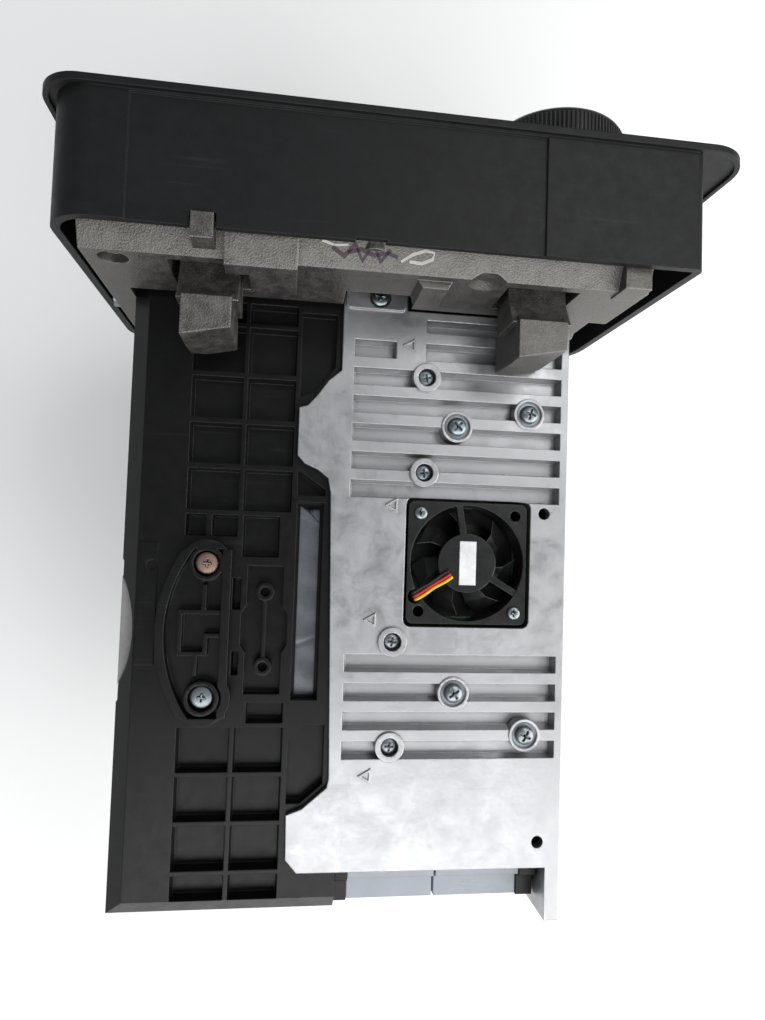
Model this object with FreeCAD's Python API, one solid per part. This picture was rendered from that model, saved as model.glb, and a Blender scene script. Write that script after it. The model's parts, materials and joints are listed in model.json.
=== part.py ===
import FreeCAD, Part
import math
import os

# Bill validator, panel mounted.  Millimetres.  +Z is the heat-sink side, the bezel's front faces -Y,
# and the origin is the middle of the bezel's walls in the plane of the flange's back face.

V = FreeCAD.Vector

# ---- driving dimensions ----
BEZEL_HALF_W = 92.5
BEZEL_HALF_H = 57.0
BEZEL_DEPTH = 35.0
BEZEL_WALL = 2.5
FLANGE_T = 2.0
FLANGE_X = (-108.5, 95.8)
FLANGE_Z = (-59.0, 58.5)
BRACKET_X = (-79.0, 84.5)
BRACKET_Y = (34.5, 40.5)
BRACKET_Z = (-50.0, 53.0)
BODY_X = (-66.7, 77.0)
BODY_END = 238.4
PLATE_TOP = 19.0
PLATE_T = 3.5
SIDE_WALL_T = 4.8
HOUSING_TOP = 17.0
HOUSING_Y = (8.0, 235.0)
PATH_TOP = -12.8
PATH_GAP = 2.6
TRAY_BOTTOM = -46.0
NOTE_MID_X = 6.0
NOTE_HALF_W = 43.5
NOTE_MID_Z = PATH_TOP - PATH_GAP / 2
MOUTH_EDGE = 6.0
MOUTH_HALF_H = 9.0
KNOB_X = -57.0
KNOB_Z = 27.0
KNOB_R = 22.0
FAN_X = -33.5
FAN_Y = 123.2
FAN_SIZE = 40.0
SHAFT_Z = -4.8
FRONT_SHAFT_Y = 72.0
REAR_SHAFT_Y = 168.0
SHAFT_R = 3.0
RUNNING_GAP = 0.05

# bracket fixings and the status lens
BRACKET_SCREWS = [(-72.0, 47.0), (4.0, 49.0), (72.0, 47.0), (80.5, -42.0)]
SCREW_BOSS_END = 10.0
STATUS_X = 62.0
STATUS_Z = 30.0

# latch
PINION_TEETH = 16
PINION_MODULE = 0.8
LATCH_Z = (27.0, 38.5)
LATCH_Y = (28.0, 33.2)
HOOKS = ((41.8, 59.3), (-57.4, -39.0))
HOOK_TOP = 45.0
HOOK_BOTTOM = 20.4
GUIDE_X = (20.0, -14.0)
GUIDE_RISE = 8.1

# heat-sink plate
PLATE_FRONT = BRACKET_Y[1] + 0.4
FIN_X = (-64.2, 6.0)
FIN_PITCH = 9.18
FIN_H = 5.6
FIN_START = 60.5
FIN_GAP = 55.93
FIN_DEPTH = 4.4
FIN_DRAFT = 0.6
FIN_FLOOR_T = 1.8
FIN_BEDS = ((41.0, 106.0), (149.0, 199.5))
DEEP_SCREWS = [(-18.0, 62.7), (-18.0, 94.1), (-9.2, 149.1), (-9.3, 182.4)]
PAN_SCREWS = [(-28.6, 78.4), (-53.1, 73.0), (-29.7, 165.3), (-53.9, 178.8)]
PLAIN_HOLES = [(-59.1, 106.0), (-59.1, 213.3)]
TRIANGLES = [(-12.4, 52.4), (-8.1, 105.0), (-2.2, 142.2), (-2.2, 191.5)]
TAB_SCREW = (-1.6, 37.4)
DEEP_SEAT = PLATE_TOP - PLATE_T + 1.6
PLATE_OUTLINE = [(10.0, 34.5), (10.0, 62.0), (14.0, 65.5), (17.5, 70.5), (20.5, 74.0), (23.2, 74.8),
                 (23.2, 90.2), (20.8, 92.8), (16.5, 94.6), (13.2, 97.2), (12.2, 102.0), (9.6, 192.4),
                 (10.2, 195.2), (17.8, 201.6), (22.6, 203.4), (22.3, 217.0), (18.7, 221.2),
                 (BODY_X[0], 221.6), (BODY_X[0], PLATE_FRONT), (-11.0, PLATE_FRONT), (-11.0, 34.5)]

# housing, side button and side foot
SHELL_T = 2.0
POCKET_FLOOR = 12.2
CEILING = 10.8
DOG_X = 31.8
DOG_RINGS = (134.2, 157.8)
BUTTON_CENTRE = (BODY_X[1] + 30.6, 147.5)
BUTTON_R = 35.2
BUTTON_FLOOR = 2.1
BUTTON_LIP = 12.0
BUTTON_Y = (144.0, 151.0)
FOOT_SCREWS = [(49.8, 125.5), (49.8, 166.8)]
FOOT_END_R = (7.6, 8.8)
FOOT_BELLY = (16.5, 147.0)
FOOT_BELLY_R = 48.0
FOOT_FLAT_X = 42.2

# note path, tray and hinge
ROLLER_X = ((-30.0, -20.0), (32.0, 42.0))
DRIVE_R = 8.9
IDLER_R = 4.7
PATH_LOW = PATH_TOP - PATH_GAP
IDLER_SHAFT_R = 1.5
IDLER_Z = SHAFT_Z - DRIVE_R - 0.4 - IDLER_R
HINGE_Y = 233.5
HINGE_Z = -38.0
HINGE_PIN_R = 1.5
KNUCKLE_R = 4.0
REAR_CHEEKS = ((-61.0, -57.0), (72.8, 76.5))
SENSOR_X = (-34.0, 46.0)
SENSOR_Y = (108.0, 124.0)
SHUTTER_Y = 30.0
SHUTTER_Z = PATH_TOP + 5.2
FINGERS = (-24.0, 24.0)

# fan and its leads
FAN_BOTTOM = PLATE_TOP - 10.8
FAN_HOLE = 16.0
FAN_SCREWS = [(FAN_X + FAN_HOLE, FAN_Y - FAN_HOLE), (FAN_X - FAN_HOLE, FAN_Y + FAN_HOLE)]
FAN_STRUTS = (-81.0, 33.0, 150.0)
FAN_BLADES = 7
LEAD_ANGLE = math.radians(33.0)
LEAD_NOTCH_R = 20.6

# board, gears and belt
BOARD_Z = (6.3, 7.8)
GEAR_MODULE = 0.7
WHEEL_TEETH = 24
SMALL_TEETH = 13
PIN_R = 1.5
MOTOR_SHAFT_R = 1.0
GEAR_PLATE_X = (57.9, 59.9)
GEAR_PLANES = ((60.6, 63.8), (64.4, 67.6), (68.2, 71.4))
STEP_GAP = GEAR_MODULE * (WHEEL_TEETH + SMALL_TEETH) / 2 + 0.04
PULLEY_X = (47.0, 52.0)
PULLEY_R = 4.8

parts = {}


# ---- shape helpers ----
def box(x, y, z):
    return Part.makeBox(x[1] - x[0], y[1] - y[0], z[1] - z[0], V(x[0], y[0], z[0]))


AXES = {"x": V(1, 0, 0), "y": V(0, 1, 0), "z": V(0, 0, 1)}


def rod(axis, centre, radius, span):
    """A cylinder along one axis; centre gives the two other coordinates in x, y, z order."""
    a, b = centre
    start = {"x": V(span[0], a, b), "y": V(a, span[0], b), "z": V(a, b, span[0])}[axis]
    return Part.makeCylinder(radius, span[1] - span[0], start, AXES[axis])


def ring(axis, centre, outer, inner, span):
    return rod(axis, centre, outer, span).cut(rod(axis, centre, inner, (span[0] - 1, span[1] + 1)))


def cone(axis, centre, r_start, r_end, span):
    a, b = centre
    start = {"x": V(span[0], a, b), "y": V(a, span[0], b), "z": V(a, b, span[0])}[axis]
    return Part.makeCone(r_start, r_end, span[1] - span[0], start, AXES[axis])


def prism(axis, outline, span):
    """A polygon, given in the two other coordinates, pushed along one axis."""
    place = {
        "x": lambda a, b: V(span[0], a, b),
        "y": lambda a, b: V(a, span[0], b),
        "z": lambda a, b: V(a, b, span[0]),
    }[axis]
    points = [place(a, b) for a, b in outline]
    face = Part.Face(Part.makePolygon(points + points[:1]))
    return face.extrude(AXES[axis] * (span[1] - span[0]))


def fuse(shapes):
    shapes = list(shapes)
    return shapes[0].multiFuse(shapes[1:]).removeSplitter() if len(shapes) > 1 else shapes[0]


def group(shapes):
    return Part.makeCompound(list(shapes))


def along(shape, axis):
    """The straight edges of a shape that run along one axis."""
    found = []
    for edge in shape.Edges:
        if len(edge.Vertexes) == 2:
            step = edge.Vertexes[1].Point - edge.Vertexes[0].Point
            if step.cross(AXES[axis]).Length < 1e-6 < step.Length:
                found.append(edge)
    return found


def rounded_box(x, y, z, axis, radius):
    solid = box(x, y, z)
    return solid.makeFillet(radius, along(solid, axis))


def corner_rounded(x, y, z, radii):
    """A box with its own radius on each edge along Y: the two lower ones, then the two upper ones."""
    solid = box(x, y, z)
    middle = solid.BoundBox.Center
    for edge in along(solid, "y"):
        place = edge.CenterOfMass
        key = (place.x > middle.x) + 2 * (place.z > middle.z)
        match = [e for e in along(solid, "y") if (e.CenterOfMass - place).Length < 1e-3]
        solid = solid.makeFillet(radii[key], match)
    return solid


def involute(angle):
    return math.tan(angle) - angle


def gear(axis, centre, teeth, module, span, phase, bore):
    """A spur gear with one tooth centred on the angle phase."""
    pressure = math.radians(20)
    play = 0.14
    pitch_r = teeth * module / 2
    base_r = pitch_r * math.cos(pressure)
    tip_r = pitch_r + 0.88 * module
    root_r = pitch_r - 1.2 * module
    half_tooth = math.pi / (2 * teeth) - play / (2 * pitch_r)
    start_r = max(base_r, root_r)
    radii = [start_r + (tip_r - start_r) * step / 4 for step in range(5)]
    flank = [(r, half_tooth + involute(pressure) - involute(math.acos(base_r / r))) for r in radii]
    if root_r < base_r:
        flank.insert(0, (root_r, flank[0][1]))
    outline = []
    for tooth in range(teeth):
        middle = phase + 2 * math.pi * tooth / teeth
        side = [(r, middle - half) for r, half in flank] + [(r, middle + half) for r, half in reversed(flank)]
        outline += [(centre[0] + r * math.cos(angle), centre[1] + r * math.sin(angle)) for r, angle in side]
    return prism(axis, outline, span).cut(rod(axis, centre, bore, (span[0] - 1, span[1] + 1)))


def pan_screw(x, y, head_bottom, head_r, shank_r, length):
    """A pan-head screw along Z with a cross recess; its head sits on head_bottom."""
    height = head_r * 0.62
    head = rod("z", (x, y), head_r, (head_bottom, head_bottom + height))
    rim = [e for e in head.Edges if e.BoundBox.ZMin > head_bottom + height - 0.01]
    head = head.makeFillet(height * 0.55, rim)
    head = head.cut(cross_recess(x, y, head_bottom + height, head_r * 0.55))
    return head.fuse(rod("z", (x, y), shank_r, (head_bottom - length, head_bottom + 0.01))).removeSplitter()


def cross_recess(x, y, top, reach):
    width = reach * 0.3
    depth = (top - reach * 0.9, top + 1)
    return fuse([box((x - reach, x + reach), (y - width, y + width), depth),
                 box((x - width, x + width), (y - reach, y + reach), depth)])


# ---- front bezel ----
def mouth_window():
    """The hole in the bezel that the moulded mouth fills."""
    half = NOTE_HALF_W + MOUTH_EDGE
    z = (NOTE_MID_Z - MOUTH_HALF_H, NOTE_MID_Z + MOUTH_HALF_H)
    return box((NOTE_MID_X - half, NOTE_MID_X + half), (-40, 20), z)


def front_bezel():
    radii = (28.0, 12.0, 3.0, 12.0)
    walls = corner_rounded((-BEZEL_HALF_W, BEZEL_HALF_W), (-1.5, BEZEL_DEPTH),
                           (-BEZEL_HALF_H, BEZEL_HALF_H), radii)
    hollow = corner_rounded((-BEZEL_HALF_W + BEZEL_WALL, BEZEL_HALF_W - BEZEL_WALL), (0.6, BEZEL_DEPTH + 1),
                            (-BEZEL_HALF_H + BEZEL_WALL, BEZEL_HALF_H - BEZEL_WALL),
                            [max(r - BEZEL_WALL, 0.8) for r in radii])
    flange_radii = (30.0, 12.0, 14.0, 12.0)
    flange = corner_rounded(FLANGE_X, (-FLANGE_T, 0.0), FLANGE_Z, flange_radii)
    lip = 1.5
    back_hollow = corner_rounded((FLANGE_X[0] + lip, FLANGE_X[1] - lip), (-0.9, 1),
                                 (FLANGE_Z[0] + lip, FLANGE_Z[1] - lip), [r - lip for r in flange_radii])
    back_hollow = back_hollow.cut(walls)
    # the middle of the top wall is set back between two shallow steps
    step_x = (-44.0, 71.0)
    step = 0.7
    panel = box(step_x, (0.6, BEZEL_DEPTH + 1), (BEZEL_HALF_H - step, BEZEL_HALF_H + 1))
    # clearance for the bracket's tab, and a thin notch beside it
    notches = [box((47.5, 54.5), (31.0, BEZEL_DEPTH + 1), (BEZEL_HALF_H - 4, BEZEL_HALF_H + 1)),
               box((1.5, 10.0), (34.2, BEZEL_DEPTH + 1), (BEZEL_HALF_H - 4, BEZEL_HALF_H + 1))]
    bosses = [rod("y", (x, z), 4.5, (0.4, SCREW_BOSS_END)) for x, z in BRACKET_SCREWS]
    pilots = [rod("y", (x, z), 1.6, (-3.0, 25.0)) for x, z in BRACKET_SCREWS]
    pilots += [cone("y", (x, z), 3.3, 1.6, (-FLANGE_T, -0.3)) for x, z in BRACKET_SCREWS]
    bush_seat = rod("y", (KNOB_X, KNOB_Z), 9.0, (0.4, 11.0))
    body = fuse([walls.cut(hollow), flange.cut(back_hollow)] + bosses + [bush_seat])
    body = body.cut(fuse([panel] + notches + pilots))
    body = body.cut(rod("y", (KNOB_X, KNOB_Z), 5.5, (-5, 12)))
    return body.cut(mouth_window()).cut(rod("y", (STATUS_X, STATUS_Z), 3.0, (-5, 5)))


def mouth_insert():
    """The moulded mouth: a frame with a funnel that narrows to the note path."""
    mid_z = NOTE_MID_Z
    x = (NOTE_MID_X - NOTE_HALF_W - MOUTH_EDGE, NOTE_MID_X + NOTE_HALF_W + MOUTH_EDGE)
    block = rounded_box(x, (-13.0, 3.0), (mid_z - MOUTH_HALF_H, mid_z + MOUTH_HALF_H), "y", 3.0)
    brim = rounded_box((x[0] - 4, x[1] + 4), (-4.5, -FLANGE_T), (mid_z - 13, mid_z + 13), "y", 4.0)
    funnel = prism("x", [(-14, mid_z - 4.6), (-14, mid_z + 4.6), (-1, mid_z + PATH_GAP / 2),
                         (4, mid_z + PATH_GAP / 2), (4, mid_z - PATH_GAP / 2), (-1, mid_z - PATH_GAP / 2)],
                   (NOTE_MID_X - NOTE_HALF_W, NOTE_MID_X + NOTE_HALF_W))
    # finger scallop in the middle of the lower lip
    scallop = rod("y", (NOTE_MID_X, mid_z - 14.0), 15.0, (-14, -7.5))
    scallop = scallop.common(box((-60, 60), (-15, -7), (mid_z - 10, mid_z + 3)))
    return block.fuse(brim).cut(fuse([funnel, scallop])).removeSplitter()


def mouth_light_guide():
    """A clear bar let into the upper lip, lit from behind."""
    half = 36.0
    z = (NOTE_MID_Z + 9.6, NOTE_MID_Z + 12.0)
    return rounded_box((NOTE_MID_X - half, NOTE_MID_X + half), (-5.6, -4.5), z, "y", 1.0)


def inlet_guides():
    """Upper and lower guide blocks that carry a note from the mouth to the rollers."""
    x = (NOTE_MID_X - NOTE_HALF_W - 3, NOTE_MID_X + NOTE_HALF_W + 3)
    low = PATH_TOP - PATH_GAP
    y = (3.2, 41.0)
    upper = prism("x", [(y[0], PATH_TOP), (y[0], PATH_TOP + 7), (y[0] + 4, PATH_TOP + 7),
                        (y[0] + 4.6, PATH_TOP + 1.6), (y[1], PATH_TOP + 1.6), (y[1], PATH_TOP)], x)
    lower = prism("x", [(y[0], low), (y[0], low - 7), (y[1] - 3, low - 7), (y[1], low)], x)
    lower = lower.cut(box((x[0] + 3, x[1] - 3), (y[0] + 3, y[1] - 6), (low - 8, low - 2)))
    return upper, lower


# ---- knob and latch ----
def knurled_knob():
    teeth = 72
    depth = 0.7
    outline = []
    for index in range(2 * teeth):
        angle = math.pi * index / teeth
        radius = KNOB_R - depth * (index % 2)
        outline.append((KNOB_X + radius * math.cos(angle), KNOB_Z + radius * math.sin(angle)))
    rim = prism("y", outline, (-16.0, -4.5))
    bevels = [cone("y", (KNOB_X, KNOB_Z), KNOB_R - 1.6, KNOB_R + 1.0, (-16.0, -13.4)),
              rod("y", (KNOB_X, KNOB_Z), KNOB_R + 1.0, (-13.4, -3.0))]
    rim = rim.common(bevels[0].fuse(bevels[1]))
    dish = cone("y", (KNOB_X, KNOB_Z), KNOB_R - 4, KNOB_R - 6, (-16.5, -13.5))
    bar = rounded_box((KNOB_X - 3.2, KNOB_X + 3.2), (-18.5, -12.0), (KNOB_Z - 15, KNOB_Z + 15), "y", 2.5)
    knob = rim.cut(dish).fuse(bar)
    return knob.cut(rod("y", (KNOB_X, KNOB_Z), 4.0, (-11.0, -4.0))).removeSplitter()


def knob_shaft():
    shaft = rod("y", (KNOB_X, KNOB_Z), 4.0, (-11.0, 27.0))
    return shaft.fuse(rod("y", (KNOB_X, KNOB_Z), 6.5, (11.3, 13.0))).removeSplitter()


def knob_bush():
    bush = ring("y", (KNOB_X, KNOB_Z), 5.5, 4.0 + RUNNING_GAP, (-FLANGE_T, 11.0))
    collar = ring("y", (KNOB_X, KNOB_Z), 8.0, 4.0 + RUNNING_GAP, (-3.4, -FLANGE_T))
    return bush.fuse(collar).removeSplitter()


def latch_pinion():
    return gear("y", (KNOB_X, KNOB_Z), PINION_TEETH, PINION_MODULE, (20.5, 26.5), 0.0, 4.0)


def hook(x):
    """One latch hook: a neck through the bracket and a tall claw behind it with a slanting end."""
    inset = 1.7
    neck = prism("x", [(LATCH_Y[0], LATCH_Z[0]), (LATCH_Y[0], LATCH_Z[1]), (41.5, LATCH_Z[1]),
                       (50.0, HOOK_TOP - 1.5), (50.0, LATCH_Z[0])], x)
    claw = prism("x", [(46.5, LATCH_Z[0] + 0.5), (46.5, HOOK_TOP - 4.5), (49.5, HOOK_TOP), (62.0, HOOK_TOP),
                       (60.0, HOOK_BOTTOM), (50.0, HOOK_BOTTOM)], (x[0] + inset, x[1] - inset))
    slant = prism("z", [(x[0] - 1, 57.6), (x[1] + 1, 61.6), (x[1] + 1, 70), (x[0] - 1, 70)],
                  (HOOK_BOTTOM - 1, HOOK_TOP + 1))
    return neck.fuse(claw).cut(slant)


def latch_rack():
    pitch = math.pi * PINION_MODULE
    line = KNOB_X + PINION_TEETH * PINION_MODULE / 2
    tip = line - 0.88 * PINION_MODULE
    root = line + 1.2 * PINION_MODULE
    slope = math.tan(math.radians(20))
    half = pitch / 4 - 0.07
    outline = []
    for index in range(-3, 3):
        middle = KNOB_Z + (index + 0.5) * pitch
        wide = half + slope * (root - line)
        narrow = half - slope * (line - tip)
        outline += [(root, middle - wide), (tip, middle - narrow)]
        outline += [(tip, middle + narrow), (root, middle + wide)]
    top = outline[-1][1] + 0.4
    bottom = outline[0][1] - 0.4
    outline = [(root, bottom)] + outline + [(root, top), (root + 4.5, top), (root + 4.5, bottom)]
    return prism("y", outline, (20.5, LATCH_Y[0] + 1))


def latch_slide():
    bar = box((HOOKS[1][0], HOOKS[0][1]), LATCH_Y, LATCH_Z)
    through = (LATCH_Y[0] - 1, LATCH_Y[1] + 1)
    slot_z = (LATCH_Z[0] + 0.5, LATCH_Z[0] + 10.2)
    slots = [rounded_box((x - 2.1, x + 2.1), through, slot_z, "y", 2.0) for x in GUIDE_X]
    return fuse([bar, latch_rack()] + [hook(x) for x in HOOKS]).cut(fuse(slots))


def latch_guide_screws():
    z = LATCH_Z[0] + GUIDE_RISE
    screws = []
    for x in GUIDE_X:
        shank = rod("y", (x, z), 1.95, (LATCH_Y[0] - 0.4, 37.0))
        head = rod("y", (x, z), 3.8, (LATCH_Y[0] - 2.4, LATCH_Y[0] - 0.3))
        screws.append(shank.fuse(head).removeSplitter())
    return group(screws)


def mounting_bracket():
    """Die-cast plate across the back of the bezel, with a leg down each side of the body."""
    rear = BRACKET_Y[1]
    slope = prism("x", [(BRACKET_Y[0] - 3, BRACKET_Z[1]), (rear, BRACKET_Z[1] - 4), (rear, 20.0),
                        (BRACKET_Y[0], 20.0), (BRACKET_Y[0], BRACKET_Z[1] - 3),
                        (BRACKET_Y[0] - 3, BRACKET_Z[1] - 2)], BRACKET_X)
    legs = [box((-73.0, -61.8), BRACKET_Y, (-16.0, 20.0)),
            box((77.0, BRACKET_X[1]), BRACKET_Y, (BRACKET_Z[0], 20.0))]
    tab = box((48.0, 54.0), (31.5, 38.5), (BRACKET_Z[1] - 4, 57.5))
    pad = prism("x", [(rear, 31.0), (rear + 3.2, 34.0), (rear + 2.4, 51.6), (BRACKET_Y[0] + 1, 54.2),
                      (BRACKET_Y[0] - 1, 54.2), (BRACKET_Y[0], 40.0)], (25.5, 45.5))
    boss = prism("z", [(-9.0, rear - 0.5), (-20.0, rear - 0.5), (-18.5, rear + 2.4), (-11.0, rear + 2.4)],
                 (30.5, 46.0))
    end_block = box((-77.5, -69.5), (BRACKET_Y[0] - 2.5, rear + 0.6), (44.0, BRACKET_Z[1] + 1.0))
    body = fuse([slope] + legs + [tab, pad, boss, end_block])
    slots = [box(x, (BRACKET_Y[0] - 1, rear + 4), (26.3, 45.6)) for x in ((38.9, 61.7), (-59.1, -36.8))]
    notch = box((-12.0, 10.5), (BRACKET_Y[0] - 1, rear + 1), (19.0, 32.0))
    dimple = cone("y", (-30.0, 47.0), 3.4, 6.0, (rear - 2.0, rear + 0.2))
    hole = rod("y", (76.5, 43.5), 4.2, (rear - 3.0, rear + 1))
    holes = [rod("y", (x, z), 1.25, (SCREW_BOSS_END - 1, 26.0)) for x, z in BRACKET_SCREWS]
    side_holes = [rod("x", (37.5, 0.0), 1.6, (-80, -61)), rod("x", (37.5, 0.0), 1.6, (76, 86))]
    pillars = [rod("y", (x, z), 3.8, (SCREW_BOSS_END, BRACKET_Y[0] + 1)) for x, z in BRACKET_SCREWS]
    guide_holes = [rod("y", (x, LATCH_Z[0] + GUIDE_RISE), 1.95, (BRACKET_Y[0] - 1, 37.0)) for x in GUIDE_X]
    body = body.cut(fuse(slots + [notch, dimple, hole] + side_holes + guide_holes))
    return body.fuse(fuse(pillars)).cut(fuse(holes)).removeSplitter()


def bracket_screws():
    """Countersunk screws from the front of the bezel into the bracket's pillars."""
    screws = []
    for x, z in BRACKET_SCREWS:
        head = cone("y", (x, z), 3.1, 1.25, (-FLANGE_T + 0.1, -0.3))
        recess = fuse([box((x - 1.6, x + 1.6), (-3, -1.0), (z - 0.4, z + 0.4)),
                       box((x - 0.4, x + 0.4), (-3, -1.0), (z - 1.6, z + 1.6))])
        screws.append(head.cut(recess).fuse(rod("y", (x, z), 1.25, (-0.31, 20.0))).removeSplitter())
    return group(screws)


def body_screws():
    """One screw through each leg of the bracket into the side of the housing."""
    axis = (37.5, 0.0)
    screws = []
    for shank, head in (((70.0, 84.5), (84.5, 86.4)), ((-73.0, -57.0), (-74.9, -73.0))):
        screws.append(rod("x", axis, 1.25, shank).fuse(rod("x", axis, 2.9, head)).removeSplitter())
    return group(screws)


# ---- heat-sink plate ----
def drafted_slot(x, y, top, depth, draft):
    """A shallow channel whose four walls lean outwards."""
    wires = []
    for inset, z in ((draft, top - depth), (0.0, top + 0.01)):
        x_low, x_high = x[0] + inset, x[1] - inset
        y_low, y_high = y[0] + inset, y[1] - inset
        corners = [V(x_low, y_low, z), V(x_high, y_low, z), V(x_high, y_high, z), V(x_low, y_high, z)]
        wires.append(Part.makePolygon(corners + corners[:1]))
    return Part.makeLoft(wires, True, True)


def channel_rows():
    """The x and y range of every channel across the plate."""
    short = (FIN_X[0], -17.6)
    first = FIN_START - 2 * FIN_PITCH
    rows = [(short, (first + 1.4, first + FIN_H))]
    starts = [(short, FIN_START - FIN_PITCH), ((-7.7, FIN_X[1]), FIN_START - FIN_PITCH)]
    starts += [(FIN_X, FIN_START + FIN_PITCH * n) for n in range(5)]
    starts += [(FIN_X, FIN_START + FIN_PITCH * (4 + n) + FIN_GAP) for n in range(4)]
    return rows + [(x, (start, start + FIN_H)) for x, start in starts]


def triangle_mark(x, y):
    """A small raised outline triangle."""
    def outline(r):
        angles = [math.radians(a) for a in (0, 120, 240)]
        return [(x + r * math.cos(angle), y + r * math.sin(angle)) for angle in angles]
    raised = prism("z", outline(2.7), (PLATE_TOP - 0.01, PLATE_TOP + 0.45))
    return raised.cut(prism("z", outline(1.5), (PLATE_TOP - 1, PLATE_TOP + 1)))


def fin_beds():
    """Thicker metal under the channels."""
    z = (PLATE_TOP - FIN_DEPTH - FIN_FLOOR_T, PLATE_TOP - PLATE_T + 0.1)
    return fuse(box((BODY_X[0] + 1, FIN_X[1] + 2.5), y, z) for y in FIN_BEDS)


def heat_sink_plate():
    floor = PLATE_TOP - PLATE_T
    right = BODY_X[0]
    plate = prism("z", PLATE_OUTLINE, (floor, PLATE_TOP))
    side = box((right, right + SIDE_WALL_T), (42.0, BODY_END), (-10.0, PLATE_TOP))
    channels = [drafted_slot(x, y, PLATE_TOP, FIN_DEPTH, FIN_DRAFT) for x, y in channel_rows()]
    fixings = DEEP_SCREWS + PAN_SCREWS
    beds = fin_beds().cut(fuse(rod("z", place, 3.8, (0, floor)) for place in fixings + PLAIN_HOLES))
    tab_pad = rounded_box((-10.4, 9.4), (34.5, 41.4), (PLATE_TOP - 1, PLATE_TOP + 1.2), "z", 1.6)
    body = fuse([plate, side, beds, tab_pad]).cut(fuse(channels))
    half = FAN_SIZE / 2 + 1
    window = rounded_box((FAN_X - half, FAN_X + half), (FAN_Y - half, FAN_Y + half),
                         (floor - 4, PLATE_TOP + 3), "z", 2.5)
    cups = [rod("z", place, 4.7, (floor, PLATE_TOP + 0.9)) for place in DEEP_SCREWS]
    seats = [rod("z", place, 5.2, (floor, PLATE_TOP + 0.4)) for place in PAN_SCREWS]
    body = fuse([body] + cups + seats + [triangle_mark(x, y) for x, y in TRIANGLES])
    sinks = [rod("z", place, 2.9, (DEEP_SEAT, PLATE_TOP + 3)) for place in DEEP_SCREWS]
    sinks += [rod("z", place, 1.7, (floor - 1, PLATE_TOP)) for place in fixings]
    sinks += [rod("z", place, 4.3, (PLATE_TOP - 0.5, PLATE_TOP + 3)) for place in PAN_SCREWS]
    holes = [rod("z", place, 1.95, (floor - 30, PLATE_TOP + 1)) for place in PLAIN_HOLES]
    tab_slot = rod("z", TAB_SCREW, 1.8, (floor - 1, PLATE_TOP + 2)).fuse(
        rod("z", TAB_SCREW, 3.5, (PLATE_TOP, PLATE_TOP + 2)))
    return body.cut(fuse([window, tab_slot] + sinks + holes)).removeSplitter()


# ---- housings ----
def pocket_boxes():
    """Every lightening pocket in the housing's ribbed face, as x and y ranges."""
    left = (41.2, 57.3)
    right = (24.6, 39.8)
    upper_rows = [(49.6, 64.3), (66.0, 79.2), (81.0, 93.8), (95.6, 108.6)]
    lower_rows = [(176.8, 190.6), (192.0, 205.6), (207.0, 220.6), (222.0, 229.6)]
    found = [(x, y) for y in upper_rows + lower_rows for x in (left, right)]
    found += [(right, (41.8, 48.2)), (left, (41.8, 48.2))]
    found += [((51.0, 57.3), (110.2, 117.0)), ((41.2, 49.2), (110.2, 117.0)), ((28.0, 39.4), (110.2, 123.2))]
    found += [((39.4, 42.0), (130.0, 140.0)), ((39.4, 41.6), (153.0, 160.5)), ((24.8, 36.4), (169.0, 175.4))]
    return found


def pocket_shapes():
    top = HOUSING_TOP
    pockets = [drafted_slot(x, y, top, top - POCKET_FLOOR, 0.35) for x, y in pocket_boxes()]
    fields = [[(12.0, 43.5), (23.2, 43.5), (23.2, 71.0), (18.5, 69.0), (12.0, 60.5)],
              [(13.8, 101.0), (22.8, 95.0), (22.8, 103.0), (13.8, 103.0)],
              [(11.5, 176.0), (18.0, 176.0), (22.8, 181.0), (22.8, 200.5), (18.5, 200.5), (11.5, 194.5)]]
    pockets += [prism("z", outline, (POCKET_FLOOR + 0.5, top + 1)) for outline in fields]
    pockets.append(box((14.2, 22.6), (105.2, 168.2), (POCKET_FLOOR - 0.4, top + 1)))
    return pockets


def dog_bone():
    """A waisted recess that holds two ring bosses joined by a thin rib."""
    floor = POCKET_FLOOR + 0.8
    side = [(5.6, 126.0), (5.6, 138.5), (7.2, 141.0), (7.2, 151.0), (5.6, 153.5), (5.6, 166.4)]
    outline = [(DOG_X + half, y) for half, y in side] + [(DOG_X - half, y) for half, y in reversed(side)]
    recess = prism("z", outline, (floor, HOUSING_TOP + 1))
    rings = [ring("z", (DOG_X, y), 2.9, 1.5, (floor - 0.5, HOUSING_TOP)) for y in DOG_RINGS]
    rib = box((DOG_X - 0.6, DOG_X + 0.6), (DOG_RINGS[0] + 2.5, DOG_RINGS[1] - 2.5),
              (floor - 0.5, HOUSING_TOP - 0.2))
    return recess, fuse(rings + [rib])


def button_recess():
    """The round cut in the housing's side and its closed nest; the button slides in under the lip."""
    opening = rod("z", BUTTON_CENTRE, BUTTON_R + 0.3, (BUTTON_FLOOR, HOUSING_TOP + 1))
    space = rod("z", BUTTON_CENTRE, BUTTON_R + 2.8, (BUTTON_FLOOR, BUTTON_LIP))
    recess = fuse([opening, space])
    nest = rod("z", BUTTON_CENTRE, BUTTON_R + 4.6, (BUTTON_FLOOR - 1.7, HOUSING_TOP)).cut(recess)
    return recess, nest


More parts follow.
